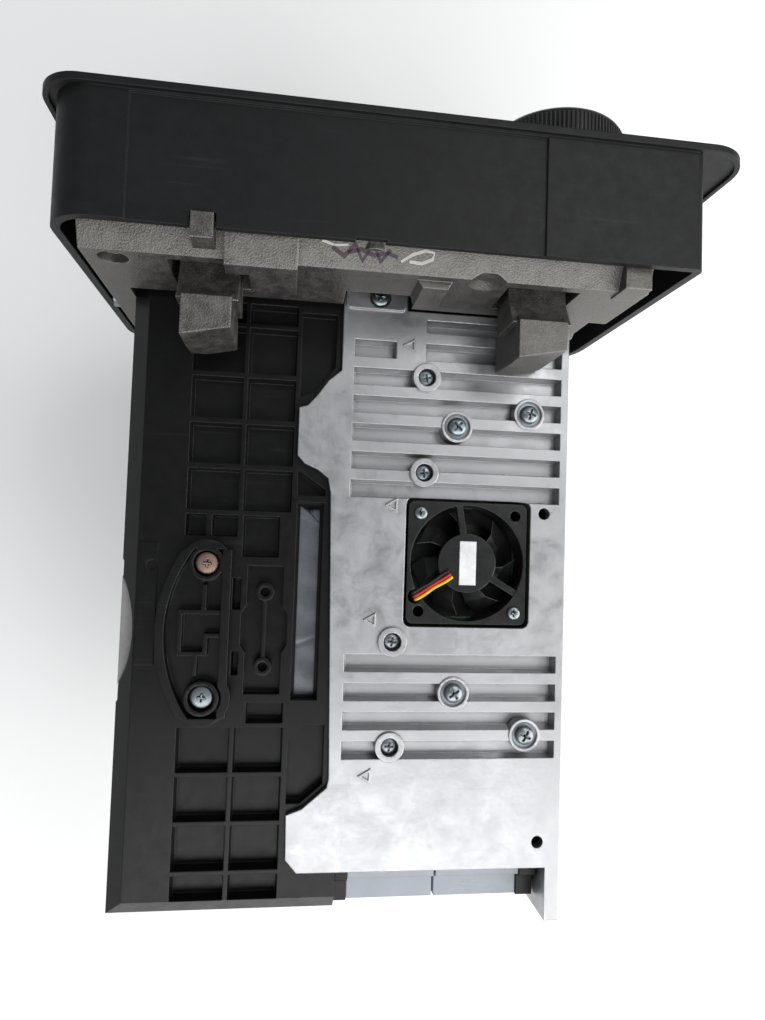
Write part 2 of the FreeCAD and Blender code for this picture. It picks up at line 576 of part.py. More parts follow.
def upper_housing():
    """Ribbed black housing of the upper half; the heat sink closes its electronics bay."""
    x = (BODY_X[0] + SIDE_WALL_T + 0.2, BODY_X[1])
    bottom = -10.0
    block = box(x, HOUSING_Y, (bottom, HOUSING_TOP))
    bevel = 5.5
    edge = [e for e in along(block, "y") if e.CenterOfMass.x > 0 and e.CenterOfMass.z > 0]
    end = [e for e in along(block, "x") if e.CenterOfMass.y > 100 and e.CenterOfMass.z > 0]
    block = block.makeChamfer(bevel, edge + end)
    cavity = box((x[0] + SHELL_T, x[1] - SHELL_T), (HOUSING_Y[0] + SHELL_T, HOUSING_Y[1] - SHELL_T),
                 (bottom - 1, CEILING))
    keel = box((3.0, 5.0), (42.0, HOUSING_Y[1] - 1), (-8.0, CEILING + 0.5))
    plate_seat = prism("z", PLATE_OUTLINE, (PLATE_TOP - PLATE_T, HOUSING_TOP + 1))
    bay = box((x[0] + SHELL_T, 1.0), (44.0, 219.5), (CEILING - 1, HOUSING_TOP + 1))
    rear_bay = box((x[0] - 1, 6.5), (222.0, HOUSING_Y[1] + 1), (-2.0, HOUSING_TOP + 1))
    connector_way = box((10.0, 46.0), (HOUSING_Y[1] - 3, HOUSING_Y[1] + 1), (-8.5, 2.5))
    cuts = [cavity, plate_seat, bay, rear_bay, connector_way, fin_beds()]
    body = block.cut(fuse(cuts)).fuse(keel.cut(fuse([plate_seat, rear_bay])))
    recess, bosses = dog_bone()
    side_cut, side_nest = button_recess()
    side_nest = side_nest.common(block)
    body = body.cut(fuse(pocket_shapes() + [recess])).fuse(bosses)
    body = body.cut(side_cut).fuse(side_nest)
    foot_seat = [rod("z", place, 1.3, (CEILING - 4, HOUSING_TOP + 1)) for place in FOOT_SCREWS]
    side_plate = box((65.2, 71.2), (119.5, 157.5), (HOUSING_TOP - 0.01, HOUSING_TOP + 0.5))
    side_plate = side_plate.cut(rod("z", (67.0, 126.5), 1.7, (HOUSING_TOP - 1, HOUSING_TOP + 1)))
    side_plate = side_plate.cut(side_cut)
    floor = (4.4, 6.0)
    bay_floor = box((x[0] + 1, 4.0), (HOUSING_Y[0] + 1, 221.0), floor)
    under_plate = PLATE_TOP - PLATE_T
    fixings = DEEP_SCREWS + PAN_SCREWS
    posts = [rod("z", place, 3.4, (floor[1] - 0.5, under_plate)) for place in fixings]
    posts += [rod("z", place, 2.8, (floor[1] - 0.5, FAN_BOTTOM)) for place in FAN_SCREWS]
    posts += [rod("z", place, 2.6, (floor[1] - 0.5, under_plate)) for place in PLAIN_HOLES]
    screw_holes = [rod("x", (37.5, 0.0), 1.3, (62.0, 78.0)), rod("x", (37.5, 0.0), 1.3, (-62.5, -56.0))]
    pilots = [rod("z", place, 1.3, (floor[1] + 0.2, PLATE_TOP)) for place in fixings + FAN_SCREWS]
    pilots += [rod("z", place, 1.95, (floor[1] + 0.2, PLATE_TOP)) for place in PLAIN_HOLES]
    pilots.append(rod("z", TAB_SCREW, 1.3, (HOUSING_TOP - 8, PLATE_TOP)))
    body = fuse([body, bay_floor, side_plate] + posts)
    button_slot = box((69.3, BODY_X[1] + 1), (BUTTON_Y[0] - 0.4, BUTTON_Y[1] + 0.4), (-6.4, 2.6))
    return body.cut(fuse(foot_seat + shaft_holes() + screw_holes + pilots + [button_slot])).removeSplitter()


def shaft_holes():
    holes = []
    for y in (FRONT_SHAFT_Y, REAR_SHAFT_Y):
        holes.append(rod("x", (y, SHAFT_Z), 5.0, (-62.5, -58.5)))
        holes.append(rod("x", (y, SHAFT_Z), 5.0, (74.0, 78.0)))
        holes.append(rod("x", (y, SHAFT_Z), SHAFT_R + 1.0, (2.0, 6.0)))
    return holes


def upper_path_plate():
    """Smooth guide plate over the note path, slotted for the drive rollers and two sensor strips."""
    x = (-58.8, 58.0)
    y = (41.4, 229.8)
    plate = box(x, y, (PATH_TOP, PATH_TOP + 1.6))
    lips = [box((edge, edge + 1.6), y, (PATH_TOP, PATH_TOP + 2.8)) for edge in (x[0], x[1] - 1.6)]
    slots = [box((r[0] - 1, r[1] + 1), (sy - 9.5, sy + 9.5), (PATH_TOP - 1, PATH_TOP + 3))
             for r in ROLLER_X for sy in (FRONT_SHAFT_Y, REAR_SHAFT_Y)]
    encoder_slot_y = (FRONT_SHAFT_Y - 9.5, FRONT_SHAFT_Y + 9.5)
    slots.append(box((-56.0, -49.0), encoder_slot_y, (PATH_TOP - 1, PATH_TOP + 2)))
    slots.append(box(SENSOR_X, SENSOR_Y, (PATH_TOP - 1, PATH_TOP + 3)))
    return fuse([plate] + lips).cut(fuse(slots))


def sensor_bar(z):
    gap = 0.3
    return box((SENSOR_X[0] + gap, SENSOR_X[1] - gap), (SENSOR_Y[0] + gap, SENSOR_Y[1] - gap), z)


def path_tray():
    """The lower half: a deep tray that swings down at its rear hinge to clear a jam."""
    x = (-60.0, 75.5)
    y = (42.0, 229.0)
    deck = (PATH_LOW - 2.0, PATH_LOW)
    shell = box(x, y, (TRAY_BOTTOM, PATH_LOW))
    lower_end = [e for e in along(shell, "x") if e.CenterOfMass.z < -40]
    shell = shell.makeChamfer(6.0, lower_end)
    hollow = box((x[0] + SHELL_T, x[1] - SHELL_T), (y[0] + SHELL_T, y[1] - SHELL_T),
                 (TRAY_BOTTOM + 2.2, deck[0]))
    hollow_edges = [e for e in along(hollow, "x") if e.CenterOfMass.z < -40]
    hollow = hollow.makeChamfer(5.0, hollow_edges)
    body = shell.cut(hollow)
    rib_z = (TRAY_BOTTOM + 1, TRAY_BOTTOM + 6)
    ribs = [box((x[0] + 1, x[1] - 1), (start, start + 1.6), rib_z) for start in (90, 135, 180)]
    slots = [box((r[0] - 1.2, r[1] + 1.2), (sy - 7.6, sy + 7.6), (deck[0] - 1, PATH_LOW + 1))
             for r in ROLLER_X for sy in (FRONT_SHAFT_Y, REAR_SHAFT_Y)]
    slots.append(box(SENSOR_X, SENSOR_Y, (deck[0] - 1, PATH_LOW + 1)))
    shafts_y = (FRONT_SHAFT_Y, REAR_SHAFT_Y)
    saddles = [box((sx, sx + 2.5), (sy - 4.5, sy + 4.5), (IDLER_Z - 4.5, deck[0] + 0.5))
               for r in ROLLER_X for sx in (r[0] - 4.5, r[1] + 2.0) for sy in shafts_y]
    bores = [rod("x", (sy, IDLER_Z), IDLER_SHAFT_R + RUNNING_GAP, (-50, 60)) for sy in shafts_y]
    knuckles = []
    for span in ((-56.0, -46.0), (62.0, 72.0)):
        knuckles.append(rod("x", (HINGE_Y, HINGE_Z), KNUCKLE_R, span))
        knuckles.append(box(span, (HINGE_Y - 8, HINGE_Y), (HINGE_Z - KNUCKLE_R, HINGE_Z + KNUCKLE_R)))
    snap_post = box((67.5, 69.5), (143.0, 152.0), (PATH_LOW - 0.5, -11.5))
    body = fuse([body, snap_post] + saddles + ribs + knuckles)
    pin_bore = rod("x", (HINGE_Y, HINGE_Z), HINGE_PIN_R + RUNNING_GAP, (-60, 78))
    return body.cut(fuse(slots + bores + [pin_bore]))


def rear_frame():
    """End frame behind the tray: it closes the rear below the note exit and holds the tray's hinge pin."""
    wall = box((REAR_CHEEKS[0][0], REAR_CHEEKS[1][1]), (HOUSING_Y[1] - 5.0, HOUSING_Y[1] - 1.0),
               (-30.0, PATH_LOW - 1.0))
    cheeks = [box(span, (231.4, HOUSING_Y[1] + 2.0), (-42.5, -10.0)) for span in REAR_CHEEKS]
    ears = [rod("x", (HINGE_Y, HINGE_Z), KNUCKLE_R, span) for span in REAR_CHEEKS]
    bore = rod("x", (HINGE_Y, HINGE_Z), HINGE_PIN_R, (-62, 78))
    return fuse([wall] + cheeks + ears).cut(bore)


def hinge_pin():
    return rod("x", (HINGE_Y, HINGE_Z), HINGE_PIN_R, (-61.5, 77.0))


def release_button():
    """Grey thumb button in the side of the housing; its plunger pushes the tray's snap post aside."""
    face = rod("z", BUTTON_CENTRE, BUTTON_R, (BUTTON_FLOOR + 0.3, BUTTON_LIP - 0.4))
    face = face.common(box((70.0, BODY_X[1] - 0.2), (120.0, 175.0), (BUTTON_FLOOR, BUTTON_LIP)))
    grips = [box((BODY_X[1] - 0.6, BODY_X[1] + 0.3), (y, y + 1.0), (3.4, 8.0)) for y in range(137, 158, 3)]
    plunger = box((71.9, 75.5), BUTTON_Y, (-6.0, 2.6))
    foot = box((71.9, 74.6), BUTTON_Y, (-14.6, -5.9))
    return fuse([face, plunger, foot] + grips)


# ---- side foot and its screws ----
def side_foot():
    """D-shaped moulding screwed on the ribbed face, open inside with crossing ribs."""
    base = HOUSING_TOP + 0.02
    top = base + 5.2
    def outline(shrink, z):
        ends = [rod("z", place, radius - shrink, z) for place, radius in zip(FOOT_SCREWS, FOOT_END_R)]
        belly = rod("z", FOOT_BELLY, FOOT_BELLY_R - shrink, z)
        belly_y = (FOOT_SCREWS[0][1] - 4.5, FOOT_SCREWS[1][1] + 6.0)
        belly = belly.common(box((FOOT_FLAT_X + shrink, 80), belly_y, z))
        return fuse(ends + [belly])
    outer = outline(0.0, (base, top))
    inner = outline(2.8, (base + 1.2, top + 1))
    wells = [rod("z", place, 5.4, (base, top)) for place in FOOT_SCREWS]
    wells_cut = [rod("z", place, 4.0, (base + 1.4, top + 1)) for place in FOOT_SCREWS]
    level = (base, top - 0.5)
    ribs = [box((49.4, 50.8), (132.0, 141.0), level), box((44.0, 57.8), (139.8, 141.2), level),
            box((56.4, 57.8), (139.8, 154.0), level), box((48.6, 57.8), (152.6, 154.0), level),
            box((48.6, 50.0), (147.0, 154.0), level), box((43.0, 50.0), (147.0, 148.4), level),
            box((51.5, 52.9), (154.0, 160.0), level)]
    walls = outer.cut(inner)
    body = fuse([walls] + [rib.common(outer) for rib in ribs] + wells)
    holes = [rod("z", place, 1.7, (base - 1, top)) for place in FOOT_SCREWS]
    return body.cut(fuse(wells_cut + holes)).removeSplitter()


def foot_screw(place):
    seat = HOUSING_TOP + 1.42
    return pan_screw(place[0], place[1], seat, 3.7, 1.25, 7.5)


# ---- fan ----
def fan_frame():
    half = FAN_SIZE / 2
    top = PLATE_TOP - 0.8
    bottom = top - 10.0
    block = rounded_box((FAN_X - half, FAN_X + half), (FAN_Y - half, FAN_Y + half), (bottom, top), "z", 2.2)
    bore = rod("z", (FAN_X, FAN_Y), 19.0, (bottom - 1, top + 1))
    corners = [(FAN_X + sx * FAN_HOLE, FAN_Y + sy * FAN_HOLE) for sx in (-1, 1) for sy in (-1, 1)]
    holes = [rod("z", place, 1.75, (bottom - 1, top + 1)) for place in corners]
    notch = lead_point(LEAD_NOTCH_R, 0, 0)
    lead_way = rod("z", (notch.x, notch.y), 2.3, (bottom - 1, top + 1))
    body = block.cut(fuse([bore, lead_way] + holes))
    hub = rod("z", (FAN_X, FAN_Y), 9.7, (top - 2.2, top - 0.2))
    struts = []
    for angle in FAN_STRUTS:
        strut = box((0, 19.6), (-1.1, 1.1), (top - 2.0, top - 0.2))
        strut.rotate(V(0, 0, 0), V(0, 0, 1), angle)
        strut.translate(V(FAN_X, FAN_Y, 0))
        struts.append(strut.cut(lead_way))
    pin = rod("z", (FAN_X, FAN_Y), 1.0, (bottom + 2.5, top - 1.0))
    return fuse([body, hub, pin] + struts)


def fan_rotor():
    """Hub cup with seven swept and pitched blades."""
    top = PLATE_TOP - 3.4
    bottom = top - 6.8
    cup = ring("z", (FAN_X, FAN_Y), 8.6, 1.0 + RUNNING_GAP, (bottom, top))
    cup = cup.cut(rod("z", (FAN_X, FAN_Y), 7.2, (bottom + 1.6, top + 1)))
    cup = cup.fuse(ring("z", (FAN_X, FAN_Y), 2.2, 1.0 + RUNNING_GAP, (bottom, bottom + 4.0)))
    blades = []
    for index in range(FAN_BLADES):
        sections = []
        for radius, sweep, half_chord, pitch in ((8.0, 0, 2.8, 40), (13.0, 8, 4.0, 34), (17.0, 18, 4.8, 30)):
            rise = half_chord * math.sin(math.radians(pitch)) * 0.86
            spread = half_chord * math.cos(math.radians(pitch))
            middle = (top + bottom) / 2
            points = []
            turn = math.radians(sweep)
            across = V(-math.sin(turn), math.cos(turn), 0)
            centre = V(radius * math.cos(turn), radius * math.sin(turn), middle)
            for chord, offset in ((-1, -0.3), (1, -0.3), (1, 0.3), (-1, 0.3)):
                points.append(centre + across * (chord * spread) + V(0, 0, chord * rise + offset))
            sections.append(Part.makePolygon(points + points[:1]))
        blade = Part.makeLoft(sections, True, True)
        blade.rotate(V(0, 0, 0), V(0, 0, 1), 360.0 * index / FAN_BLADES)
        blade.translate(V(FAN_X, FAN_Y, 0))
        blades.append(blade)
    return fuse([cup] + blades)


def fan_label():
    top = PLATE_TOP - 1.0
    return box((FAN_X - 3.0, FAN_X + 2.6), (FAN_Y - 7.2, FAN_Y + 7.2), (top + 0.01, top + 0.12))


def tube(points, radius, bend):
    """A round lead along straight runs joined by tangent arcs."""
    edges = []
    last = points[0]
    for before, corner, after in zip(points, points[1:], points[2:]):
        to_before = (before - corner).normalize()
        to_after = (after - corner).normalize()
        turn = math.pi - to_before.getAngle(to_after)
        reach = bend * math.tan(turn / 2)
        start = corner + to_before * reach
        finish = corner + to_after * reach
        inward = (to_before + to_after).normalize()
        middle = corner + inward * (bend / math.cos(turn / 2) - bend)
        edges += [Part.LineSegment(last, start).toShape(), Part.Arc(start, middle, finish).toShape()]
        last = finish
    edges.append(Part.LineSegment(last, points[-1]).toShape())
    path = Part.Wire(edges)
    direction = points[1] - points[0]
    profile = Part.Wire(Part.makeCircle(radius, points[0], direction))
    return path.makePipeShell([profile], True, True)


def lead_point(radius, shift, z):
    return V(FAN_X + radius * math.cos(LEAD_ANGLE) - shift * math.sin(LEAD_ANGLE),
             FAN_Y + radius * math.sin(LEAD_ANGLE) + shift * math.cos(LEAD_ANGLE), z)


def fan_lead(index):
    """One of three leads side by side: out of the hub, along a strut and down through the frame's corner."""
    level = PLATE_TOP - 0.42
    shift = (index - 1) * 1.12
    return tube([lead_point(6.4, shift, level), lead_point(LEAD_NOTCH_R, shift, level),
                 lead_point(LEAD_NOTCH_R, shift, FAN_BOTTOM + 0.1)], 0.52, 1.5)


def fan_screws():
    top = PLATE_TOP - 0.8
    return group(pan_screw(x, y, top, 2.15, 1.25, 11.5) for x, y in FAN_SCREWS)


# ---- electronics ----
def main_board():
    board = box((-55.2, 0.5), (50.0, 216.0), BOARD_Z)
    cuts = [rod("z", place, 3.7, (0, 10)) for place in DEEP_SCREWS + PAN_SCREWS + FAN_SCREWS]
    cuts.append(box((FAN_X - 18.5, 2.0), (FAN_Y - 18.5, FAN_Y + 18.5), (0, 10)))
    return board.cut(fuse(cuts))


def board_chips():
    places = [((-50, -36), (52, 66)), ((-46, -34), (88, 98)), ((-8, -2), (66, 84)), ((-52, -44), (150, 158)),
              ((-46, -36), (186, 200)), ((-24, -12), (196, 208)), ((-52.5, -44.5), (100, 103)),
              ((-36, -28), (52, 62))]
    return group(box(x, y, (BOARD_Z[1], BOARD_Z[1] + 1.6)) for x, y in places)


def sensor_boards():
    edge = 3.0
    x = (SENSOR_X[0] - edge, SENSOR_X[1] + edge)
    y = (SENSOR_Y[0] - edge, SENSOR_Y[1] + edge)
    return box(x, y, (-9.6, -8.4)), box(x, y, (-26.0, -24.8))


def rear_connector():
    body = box((10.0, 46.0), (226.5, 237.0), (-8.5, 2.5))
    hollow = box((12.0, 44.0), (229.0, 238.0), (-6.8, 0.8))
    pin = 0.8
    starts = [(13.0 + 3.4 * column, row_z) for column in range(9) for row_z in (-5.2, -1.6)]
    pins = [box((x, x + pin), (228.0, 235.0), (z, z + pin)) for x, z in starts]
    return body.cut(hollow).fuse(fuse(pins))


def rear_light_guide():
    """Clear prism across the rear of the heat-sink side, in two lengths under one step."""
    outline = [(222.4, -1.5), (222.4, 12.0), (226.5, 12.0), (228.0, 8.5), (234.4, 8.5), (234.4, -1.5)]
    guide = prism("x", outline, (-55.5, 2.0))
    return guide.cut(box((-27.2, -26.6), (222, 235), (6.0, 13.0)))


def light_guide_caps():
    """The opaque blocks at both ends of the prism."""
    outline = [(222.3, -1.7), (222.3, 12.6), (226.8, 12.6), (228.3, 9.1), (234.8, 9.1), (234.8, -1.7)]
    return group(prism("x", outline, span) for span in ((-61.3, -55.5), (2.0, 6.2)))


def flex_strip():
    return box((15.2, 21.6), (106.0, 167.4), (POCKET_FLOOR - 0.39, POCKET_FLOOR + 0.6))


# ---- drive train ----
def gear_centre(start, toward, distance):
    angle = math.atan2(toward[1] - start[1], toward[0] - start[0])
    return (start[0] + distance * math.cos(angle), start[1] + distance * math.sin(angle)), angle


def idle_centres():
    """Two compound gears step down from the rear shaft towards the motor pinion."""
    rear = (REAR_SHAFT_Y, SHAFT_Z)
    first, angle_one = gear_centre(rear, (REAR_SHAFT_Y + 12.5, SHAFT_Z + 3.6), STEP_GAP)
    second, angle_two = gear_centre(first, (first[0] + 12.5, first[1] + 1.0), STEP_GAP)
    return rear, first, second, angle_one, angle_two


def motor_centre():
    """The motor stands level behind the second compound gear."""
    second = idle_centres()[2]
    return second[0] + STEP_GAP, second[1]


def drive_gears():
    """Rear shaft gear, two compound gears and the motor pinion, all in mesh at rest."""
    rear, first, second, angle_one, angle_two = idle_centres()
    near, middle, far = GEAR_PLANES
    facing = math.pi + math.pi / SMALL_TEETH
    bore = PIN_R + RUNNING_GAP
    wheel = gear("x", rear, WHEEL_TEETH, GEAR_MODULE, near, angle_one, SHAFT_R)
    first_small = gear("x", first, SMALL_TEETH, GEAR_MODULE, near, angle_one + facing, bore)
    first_wheel = gear("x", first, WHEEL_TEETH, GEAR_MODULE, middle, angle_two, bore)
    first_link = ring("x", first, 3.4, bore, (near[1] - 0.1, middle[0] + 0.1))
    second_small = gear("x", second, SMALL_TEETH, GEAR_MODULE, middle, angle_two + facing, bore)
    second_wheel = gear("x", second, WHEEL_TEETH, GEAR_MODULE, far, 0.0, bore)
    second_link = ring("x", second, 3.4, bore, (middle[1] - 0.1, far[0] + 0.1))
    pinion = gear("x", motor_centre(), SMALL_TEETH, GEAR_MODULE, far, facing, MOTOR_SHAFT_R)
    first_pair = fuse([first_small, first_wheel, first_link])
    second_pair = fuse([second_small, second_wheel, second_link])
    return wheel, first_pair, second_pair, pinion


def gear_plate():
    """Steel plate that carries the gear pins and the motor."""
    rear, first, second, _, _ = idle_centres()
    plate = box(GEAR_PLATE_X, (150.0, 232.0), (-9.6, 10.4))
    holes = [rod("x", rear, SHAFT_R + 0.6, (57, 61)), rod("x", motor_centre(), 3.3, (57, 61))]
    pins = [rod("x", centre, PIN_R, (GEAR_PLATE_X[1], 72.4)) for centre in (first, second)]
    return group([plate.cut(fuse(holes))] + pins)


def drive_motor():
    """Round can with two flats, a nose in the gear plate and a tail bearing."""
    motor = motor_centre()
    can = rod("x", motor, 9.4, (22.0, GEAR_PLATE_X[0]))
    can = can.common(box((20, 60), (motor[0] - 12, motor[0] + 12), (motor[1] - 7.6, motor[1] + 7.6)))
    nose = rod("x", motor, 3.0, (57.0, 60.0))
    tail = rod("x", motor, 4.0, (20.0, 22.5))
    return fuse([can, nose, tail]).cut(rod("x", motor, MOTOR_SHAFT_R + RUNNING_GAP, (50.0, 61.0)))


def motor_shaft():
    return rod("x", motor_centre(), MOTOR_SHAFT_R, (50.5, 72.0))


def drive_shaft(y):
    return rod("x", (y, SHAFT_Z), SHAFT_R, (-60.2, 76.4))


def shaft_bushes():
    bushes = []
    for y in (FRONT_SHAFT_Y, REAR_SHAFT_Y):
        bushes.append(ring("x", (y, SHAFT_Z), 5.0, SHAFT_R + RUNNING_GAP, (-61.5, -59.2)))
        bushes.append(ring("x", (y, SHAFT_Z), 5.0, SHAFT_R + RUNNING_GAP, (75.0, 77.0)))
    return group(bushes)


def drive_rollers(y):
    return group(ring("x", (y, SHAFT_Z), DRIVE_R, SHAFT_R, span) for span in ROLLER_X)


def belt_pulleys():
    pulleys = []
    for y in (FRONT_SHAFT_Y, REAR_SHAFT_Y):
        drum = ring("x", (y, SHAFT_Z), PULLEY_R, SHAFT_R, PULLEY_X)
        flanges = [ring("x", (y, SHAFT_Z), PULLEY_R + 1.2, SHAFT_R, (e, e + 0.8))
                   for e in (PULLEY_X[0] - 0.8, PULLEY_X[1])]
        pulleys.append(fuse([drum] + flanges))
    return pulleys


def timing_belt():
    inner = PULLEY_R + 0.3
    outer = inner + 1.0
    span = (PULLEY_X[0] + 0.4, PULLEY_X[1] - 0.4)
    def loop(radius):
        ends = [rod("x", (y, SHAFT_Z), radius, span) for y in (FRONT_SHAFT_Y, REAR_SHAFT_Y)]
        return fuse(ends + [box(span, (FRONT_SHAFT_Y, REAR_SHAFT_Y), (SHAFT_Z - radius, SHAFT_Z + radius))])
    return loop(outer).cut(loop(inner))


def encoder_wheel():
    x = (-53.2, -52.2)
    disc = ring("x", (FRONT_SHAFT_Y, SHAFT_Z), 8.0, SHAFT_R, x)
    slits = []
    for index in range(16):
        slit = box((x[0] - 1, x[1] + 1), (5.4, 7.4), (-0.5, 0.5))
        slit.rotate(V(0, 0, 0), V(1, 0, 0), 360.0 * index / 16)
        slit.translate(V(0, FRONT_SHAFT_Y, SHAFT_Z))
        slits.append(slit)
    hub = ring("x", (FRONT_SHAFT_Y, SHAFT_Z), 4.6, SHAFT_R, (x[0] - 1.5, x[1] + 1.5))
    return disc.fuse(hub).cut(fuse(slits))


def encoder_sensor():
    y = (FRONT_SHAFT_Y + 5.2, FRONT_SHAFT_Y + 14.0)
    body = box((-56.6, -48.8), y, (-8.4, 1.5))
    return body.cut(box((-54.2, -51.2), (y[0] - 1, y[1] - 3.0), (-9, 2)))


def idler_shaft(y):
    return rod("x", (y, IDLER_Z), IDLER_SHAFT_R, (-36.0, 48.0))


def idler_rollers(y):
    return group(ring("x", (y, IDLER_Z), IDLER_R, IDLER_SHAFT_R, span) for span in ROLLER_X)


# ---- inlet shutter ----
def inlet_shutter():
    """Sprung flap with two fingers that hang into the note path behind the mouth."""
    axle = rod("x", (SHUTTER_Y, SHUTTER_Z), 1.5, (NOTE_MID_X - 48.0, NOTE_MID_X + 48.0))
    blade = [(SHUTTER_Y - 1.2, SHUTTER_Z), (SHUTTER_Y + 1.2, SHUTTER_Z), (SHUTTER_Y + 2.6, PATH_LOW + 0.6),
             (SHUTTER_Y + 1.0, PATH_LOW + 0.6)]
    fingers = [prism("x", blade, (NOTE_MID_X + mid - 4, NOTE_MID_X + mid + 4)) for mid in FINGERS]
    return fuse([axle] + fingers)


def shutter_bearings():
    blocks = []
    for mid in (NOTE_MID_X - 45.5, NOTE_MID_X + 45.5):
        block = box((mid - 2.0, mid + 2.0), (SHUTTER_Y - 3.2, SHUTTER_Y + 3.2),
                    (PATH_TOP + 1.6, SHUTTER_Z + 3.4))
        blocks.append(block.cut(rod("x", (SHUTTER_Y, SHUTTER_Z), 1.5 + RUNNING_GAP, (mid - 3, mid + 3))))
    return group(blocks)


# ---- build and write every sub-part ----
def build():
    upper_guide, lower_guide = inlet_guides()
    finger_slots = [box((NOTE_MID_X + mid - 5, NOTE_MID_X + mid + 5), (SHUTTER_Y - 3, SHUTTER_Y + 9),
                        (PATH_TOP - 1, PATH_TOP + 2)) for mid in FINGERS]
    upper_sensor, lower_sensor = sensor_boards()
    wheel, first_gear, second_gear, pinion = drive_gears()
    front_pulley, rear_pulley = belt_pulleys()
    parts.update({
        "front_bezel": front_bezel(),
        "mouth_insert": mouth_insert(),
        "mouth_light_guide": mouth_light_guide(),
        "status_lens": rod("y", (STATUS_X, STATUS_Z), 3.0, (-2.6, 1.5)),
        "inlet_guide_upper": upper_guide.cut(fuse(finger_slots)),
        "inlet_guide_lower": lower_guide,
        "inlet_shutter": inlet_shutter(),
        "shutter_bearings": shutter_bearings(),
        "knurled_knob": knurled_knob(),
        "knob_shaft": knob_shaft(),
        "knob_bush": knob_bush(),
        "latch_pinion": latch_pinion(),
        "latch_slide": latch_slide(),
        "latch_guide_screws": latch_guide_screws(),
        "mounting_bracket": mounting_bracket(),
        "bracket_screws": bracket_screws(),
        "body_screws": body_screws(),
        "heat_sink_plate": heat_sink_plate(),
        "pan_screws": group(pan_screw(x, y, PLATE_TOP - 0.5, 3.9, 1.25, 10.0) for x, y in PAN_SCREWS),
        "deep_screws": group(pan_screw(x, y, DEEP_SEAT, 2.6, 1.25, 8.0) for x, y in DEEP_SCREWS),
        "tab_screw": pan_screw(TAB_SCREW[0], TAB_SCREW[1], PLATE_TOP, 3.0, 1.25, 9.0),
        "upper_housing": upper_housing(),
        "upper_path_plate": upper_path_plate(),
        "path_tray": path_tray(),
        "rear_frame": rear_frame(),
        "tray_hinge_pin": hinge_pin(),
        "release_button": release_button(),
        "side_foot": side_foot(),
        "foot_screw_copper": foot_screw(FOOT_SCREWS[0]),
        "foot_screw_steel": foot_screw(FOOT_SCREWS[1]),
        "flex_strip": flex_strip(),
        "fan_frame": fan_frame(),
        "fan_rotor": fan_rotor(),
        "fan_label": fan_label(),
        "fan_screws": fan_screws(),
        "main_board": main_board(),
        "board_chips": board_chips(),
        "upper_sensor_board": upper_sensor,
        "upper_sensor_lens": sensor_bar((PATH_TOP, PATH_TOP + 3.2)),
        "lower_sensor_board": lower_sensor,
        "lower_sensor_lens": sensor_bar((-24.8, PATH_LOW)),
        "rear_connector": rear_connector(),
        "rear_light_guide": rear_light_guide(),
        "light_guide_caps": light_guide_caps(),
        "drive_motor": drive_motor(),
        "motor_pinion": pinion.fuse(motor_shaft()),
        "gear_plate": gear_plate(),
        "first_reduction_gear": first_gear,
        "second_reduction_gear": second_gear,
        "rear_shaft_gear": wheel,
        "front_drive_shaft": fuse([drive_shaft(FRONT_SHAFT_Y), front_pulley, encoder_wheel()]),
        "rear_drive_shaft": fuse([drive_shaft(REAR_SHAFT_Y), rear_pulley]),
        "shaft_bushes": shaft_bushes(),
        "timing_belt": timing_belt(),
        "encoder_sensor": encoder_sensor(),
    })
    for y, place in ((FRONT_SHAFT_Y, "front"), (REAR_SHAFT_Y, "rear")):
        parts[place + "_drive_rollers"] = drive_rollers(y)
        parts[place + "_idler"] = group([idler_shaft(y)] + list(idler_rollers(y).Solids))
    parts["fan_leads"] = group(fan_lead(index) for index in range(3))


build()
os.makedirs("parts", exist_ok=True)
for name, shape in parts.items():
    shape.exportStep("parts/%s.step" % name)
    print("%-24s %3d solid(s) valid %s" % (name, len(shape.Solids), shape.isValid()))
print(len(parts), "nodes")
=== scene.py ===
import json
import math
import random

import bmesh
import bpy
from mathutils import Matrix, Vector


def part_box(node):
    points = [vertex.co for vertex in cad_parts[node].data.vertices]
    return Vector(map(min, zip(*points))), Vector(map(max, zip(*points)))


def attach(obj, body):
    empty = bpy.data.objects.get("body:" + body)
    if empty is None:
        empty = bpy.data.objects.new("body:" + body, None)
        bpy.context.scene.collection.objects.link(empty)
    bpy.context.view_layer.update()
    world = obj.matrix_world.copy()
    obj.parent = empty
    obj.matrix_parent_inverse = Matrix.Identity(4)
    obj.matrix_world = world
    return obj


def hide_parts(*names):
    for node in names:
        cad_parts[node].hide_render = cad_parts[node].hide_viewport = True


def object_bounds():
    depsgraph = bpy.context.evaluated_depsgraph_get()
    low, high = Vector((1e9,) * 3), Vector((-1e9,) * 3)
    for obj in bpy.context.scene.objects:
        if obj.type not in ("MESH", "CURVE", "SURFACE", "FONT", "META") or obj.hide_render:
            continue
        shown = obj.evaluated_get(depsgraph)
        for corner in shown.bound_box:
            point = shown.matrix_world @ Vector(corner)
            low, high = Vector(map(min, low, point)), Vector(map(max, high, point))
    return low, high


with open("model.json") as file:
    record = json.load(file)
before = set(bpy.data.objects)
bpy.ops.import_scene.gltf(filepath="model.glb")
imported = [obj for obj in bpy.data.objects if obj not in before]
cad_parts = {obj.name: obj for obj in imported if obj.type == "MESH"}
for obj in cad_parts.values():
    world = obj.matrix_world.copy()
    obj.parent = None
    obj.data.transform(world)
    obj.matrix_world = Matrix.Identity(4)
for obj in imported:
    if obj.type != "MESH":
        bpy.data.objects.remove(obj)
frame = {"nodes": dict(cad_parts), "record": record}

cad_low, cad_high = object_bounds()
scene = bpy.context.scene
MM = 0.001
random.seed(11)
TRAY_DROP = 83.0 * MM
FLOOR_Z = cad_low.z - TRAY_DROP


